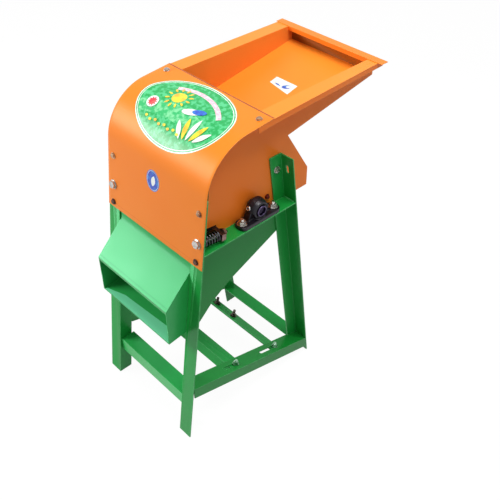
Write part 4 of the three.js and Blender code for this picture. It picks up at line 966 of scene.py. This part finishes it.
# The adjusters: a long bolt through the hood and the leg, a nut behind the crossbar that pulls on it,
# and a spring of 3.6 mm wire between the leg and the crossbar, black from hardening.
black_steel = metal("blackened_steel", (44, 42, 42), (62, 56, 54), 0.36, 500, 0.08 * mm, polish=0.85)
spring_steel = metal("hardened_spring_wire", (96, 97, 102), (48, 46, 50), 0.2, 900, 0.03 * mm)
head_corner = 10 * mm
nut_washer = 1.2 * mm
wire = 3.6 * mm
coil_radius = 13 * mm
closed_pitch = 4.6 * mm
open_turns = 5
turn_steps = 28
for side in ("right", "left"):
    start, end = axis_ends(f"adjusting_bolt_{side}", across_hood)
    parts = joined(hexagon(head_corner, 0, 6 * mm, ("low",)),
                   washer(4.6 * mm, 11.5 * mm, 6 * mm, 1.3 * mm),
                   threaded(5 * mm, 3 * mm, 12 * mm, (end - start).length, 1.5 * mm))
    finished(set_along(parts, start, across_hood, 0.35), f"adjusting_bolt_{side}_made", zinc_plate, "zinc",
             "frame", f"adjusting_bolt_{side}", sharp=32)
    start, end = axis_ends(f"adjusting_nut_{side}", across_hood)
    parts = joined(washer(5.3 * mm, 11 * mm, 0, nut_washer),
                   hexagon(head_corner, nut_washer, (end - start).length - nut_washer, ("low", "high")))
    finished(set_along(parts, start, across_hood, 0.2), f"adjusting_nut_{side}_made", rusty_steel,
             "dark_steel", "frame", f"adjusting_nut_{side}", sharp=32)
    start, end = axis_ends(f"adjusting_spring_{side}", across_hood)
    spring_length = (end - start).length
    open_pitch = (spring_length - wire - 2 * closed_pitch) / open_turns
    spring = bmesh.new()
    tip = bmesh.ops.create_circle(spring, cap_ends=False, segments=10, radius=wire / 2)["verts"]
    bmesh.ops.rotate(spring, cent=(0, 0, 0), matrix=Matrix.Rotation(math.radians(90), 3, "X"), verts=tip)
    bmesh.ops.translate(spring, vec=(coil_radius, 0, wire / 2), verts=tip)
    first_cap = [e for e in spring.edges]
    section = tip + first_cap
    for turns, pitch in ((1, closed_pitch), (open_turns, open_pitch), (1, closed_pitch)):
        grown = bmesh.ops.spin(spring, geom=section, cent=(0, 0, 0), axis=(0, 0, 1),
                               dvec=(0, 0, pitch / turn_steps), angle=math.tau * turns,
                               steps=turn_steps * turns, use_merge=False, use_duplicate=False)
        section = grown["geom_last"]
    bmesh.ops.contextual_create(spring, geom=first_cap)
    bmesh.ops.contextual_create(spring, geom=[g for g in section if isinstance(g, bmesh.types.BMEdge)])
    bmesh.ops.recalc_face_normals(spring, faces=spring.faces[:])
    coil = finished(set_along(spring, start, across_hood), f"adjusting_spring_{side}_wire", spring_steel,
                    "dark_steel", "frame", f"adjusting_spring_{side}")
    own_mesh(coil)


# The pressure plate: a curved steel plate in front of the drum, welded to a flat crossbar that runs
# through the casing to the adjusting bolts. It is left black from the mill.
bar_end_steel = metal("worn_bar_end", (150, 122, 116), (96, 72, 66), 0.36, 400, 0.08 * mm, polish=0.8)
bar_end_round = 4.6 * mm
worn_reach = 6 * mm
plate_mesh = cad_copy("pressure_plate", 0.5 * mm)
plate_low, plate_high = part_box("pressure_plate")
end_edges = [e for e in plate_mesh.edges
             if all(min(v.co.x - plate_low.x, plate_high.x - v.co.x) < 1.2 * mm for v in e.verts)
             and e.calc_length() > 8 * mm and abs(e.verts[0].co.x - e.verts[1].co.x) < 0.01 * mm]
rounded(plate_mesh, end_edges, bar_end_round, 5)
for face in plate_mesh.faces:
    farthest = max(min(v.co.x - plate_low.x, plate_high.x - v.co.x) for v in face.verts)
    face.material_index = 1 if farthest < worn_reach else 0
finished(plate_mesh, "pressure_plate_steel", [black_steel, bar_end_steel], "dark_steel",
         "pressure_plate", "pressure_plate")


# The drum: a steel tube on two end discs, with round studs welded on in four twisted rows, keyed to a turned
# shaft. The cobs rub against its studs.
blued_steel = metal("oiled_shaft_end", (62, 52, 76), (34, 30, 42), 0.32, 300, 0.05 * mm)
drum_radius = 70 * mm
drum_wall = 4 * mm
disc_radius = drum_radius - drum_wall + 0.4 * mm
disc_half_wall = 2 * mm
shaft_hole = 10.3 * mm
hub_half_length = 15 * mm
stud_rows = 4
studs_in_row = 7
row_twist = 70
stud_sink = 2 * mm
drum_low, drum_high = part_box("drum")
half_drum = (drum_high.x - drum_low.x) / 2
drum_middle = on_shaft((drum_low.x + drum_high.x) / 2)
tube = turned([(drum_radius - drum_wall, -half_drum), (drum_radius, -half_drum), (drum_radius, half_drum),
               (drum_radius - drum_wall, half_drum), (drum_radius - drum_wall, -half_drum)], drum_middle,
              (1, 0, 0), 64)
drum_parts = [tube]
for end in (-1, 1):
    disc = turned([(shaft_hole, -disc_half_wall), (disc_radius, -disc_half_wall),
                   (disc_radius, disc_half_wall), (shaft_hole, disc_half_wall),
                   (shaft_hole, -disc_half_wall)],
                  drum_middle + Vector((end * (half_drum - drum_wall), 0, 0)), (1, 0, 0), 64)
    hub = turned(in_mm([(10.3, -15), (22, -15), (24, -13), (24, 13), (22, 15), (10.3, 15), (10.3, -15)]),
                 drum_middle + Vector((end * (half_drum - hub_half_length), 0, 0)), (1, 0, 0), 40)
    drum_parts += [disc, hub]
for row in range(stud_rows):
    for place in range(studs_in_row):
        share = (place + 0.5) / studs_in_row
        angle = math.radians(360 / stud_rows * row + row_twist * share)
        outward = Vector((0, math.cos(angle), math.sin(angle)))
        root = drum_middle + Vector((-half_drum + 2 * half_drum * share, 0, 0)) \
            + outward * (drum_radius - stud_sink)
        drum_parts.append(turned(in_mm([(0, 0), (8.4, 0), (7.4, 3.4), (7, 5), (5.8, 24), (4.6, 26.4),
                                        (2.4, 27), (0, 27)]), root, outward, 14))
finished(joined(*drum_parts), "drum_welded", black_steel, "dark_steel", "drum", "drum", sharp=40)
shaft_radius = 10 * mm
end_radius = 9 * mm
centre_radius = 2.2 * mm
centre_depth = 2.4 * mm
oiled_reach = 3 * mm
shaft_low, shaft_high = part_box("drum_shaft")
shaft = turned([(0, shaft_low.x), (end_radius, shaft_low.x), (shaft_radius, shaft_low.x + mm),
                (shaft_radius, shaft_high.x - mm), (end_radius, shaft_high.x),
                (centre_radius, shaft_high.x), (0, shaft_high.x - centre_depth)],
               on_shaft(0), (1, 0, 0), 48)
for face in shaft.faces:
    face.material_index = 1 if face.calc_center_median().x > shaft_high.x - oiled_reach else 0
finished(shaft, "drum_shaft_turned", [turned_steel, blued_steel], "plain_steel", "drum", "drum_shaft",
         sharp=35)
finished(cad_copy("concave_screen", 0.3 * mm), "concave_screen_steel", turned_steel, "plain_steel", "frame",
         "concave_screen")


# The driven pulley: grey iron, with the groove for one V belt. It is keyed to the left end of the shaft.
grey_iron = metal("grey_iron", (116, 118, 122), (88, 90, 94), 0.42, 260, 0.3 * mm)
pulley_low, pulley_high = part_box("driven_pulley")
pulley_middle = on_shaft((pulley_low.x + pulley_high.x) / 2)
pulley_profile = [(10.3, -15), (22, -15), (24, -13.5), (25.5, -4.5), (29, -3), (64, -3), (67, -4.5),
                  (68, -10), (69, -11), (89, -11), (90, -10), (90, -6.5), (78, -3.6), (78, 3.6), (90, 6.5),
                  (90, 10), (89, 11), (69, 11), (68, 10), (67, 4.5), (64, 3), (29, 3), (25.5, 4.5),
                  (24, 13.5), (22, 15), (10.3, 15), (10.3, -15)]
finished(turned(in_mm(pulley_profile), pulley_middle, (1, 0, 0), 72), "driven_pulley_turned", grey_iron,
         "grey_cast", "drum", "driven_pulley", sharp=35)
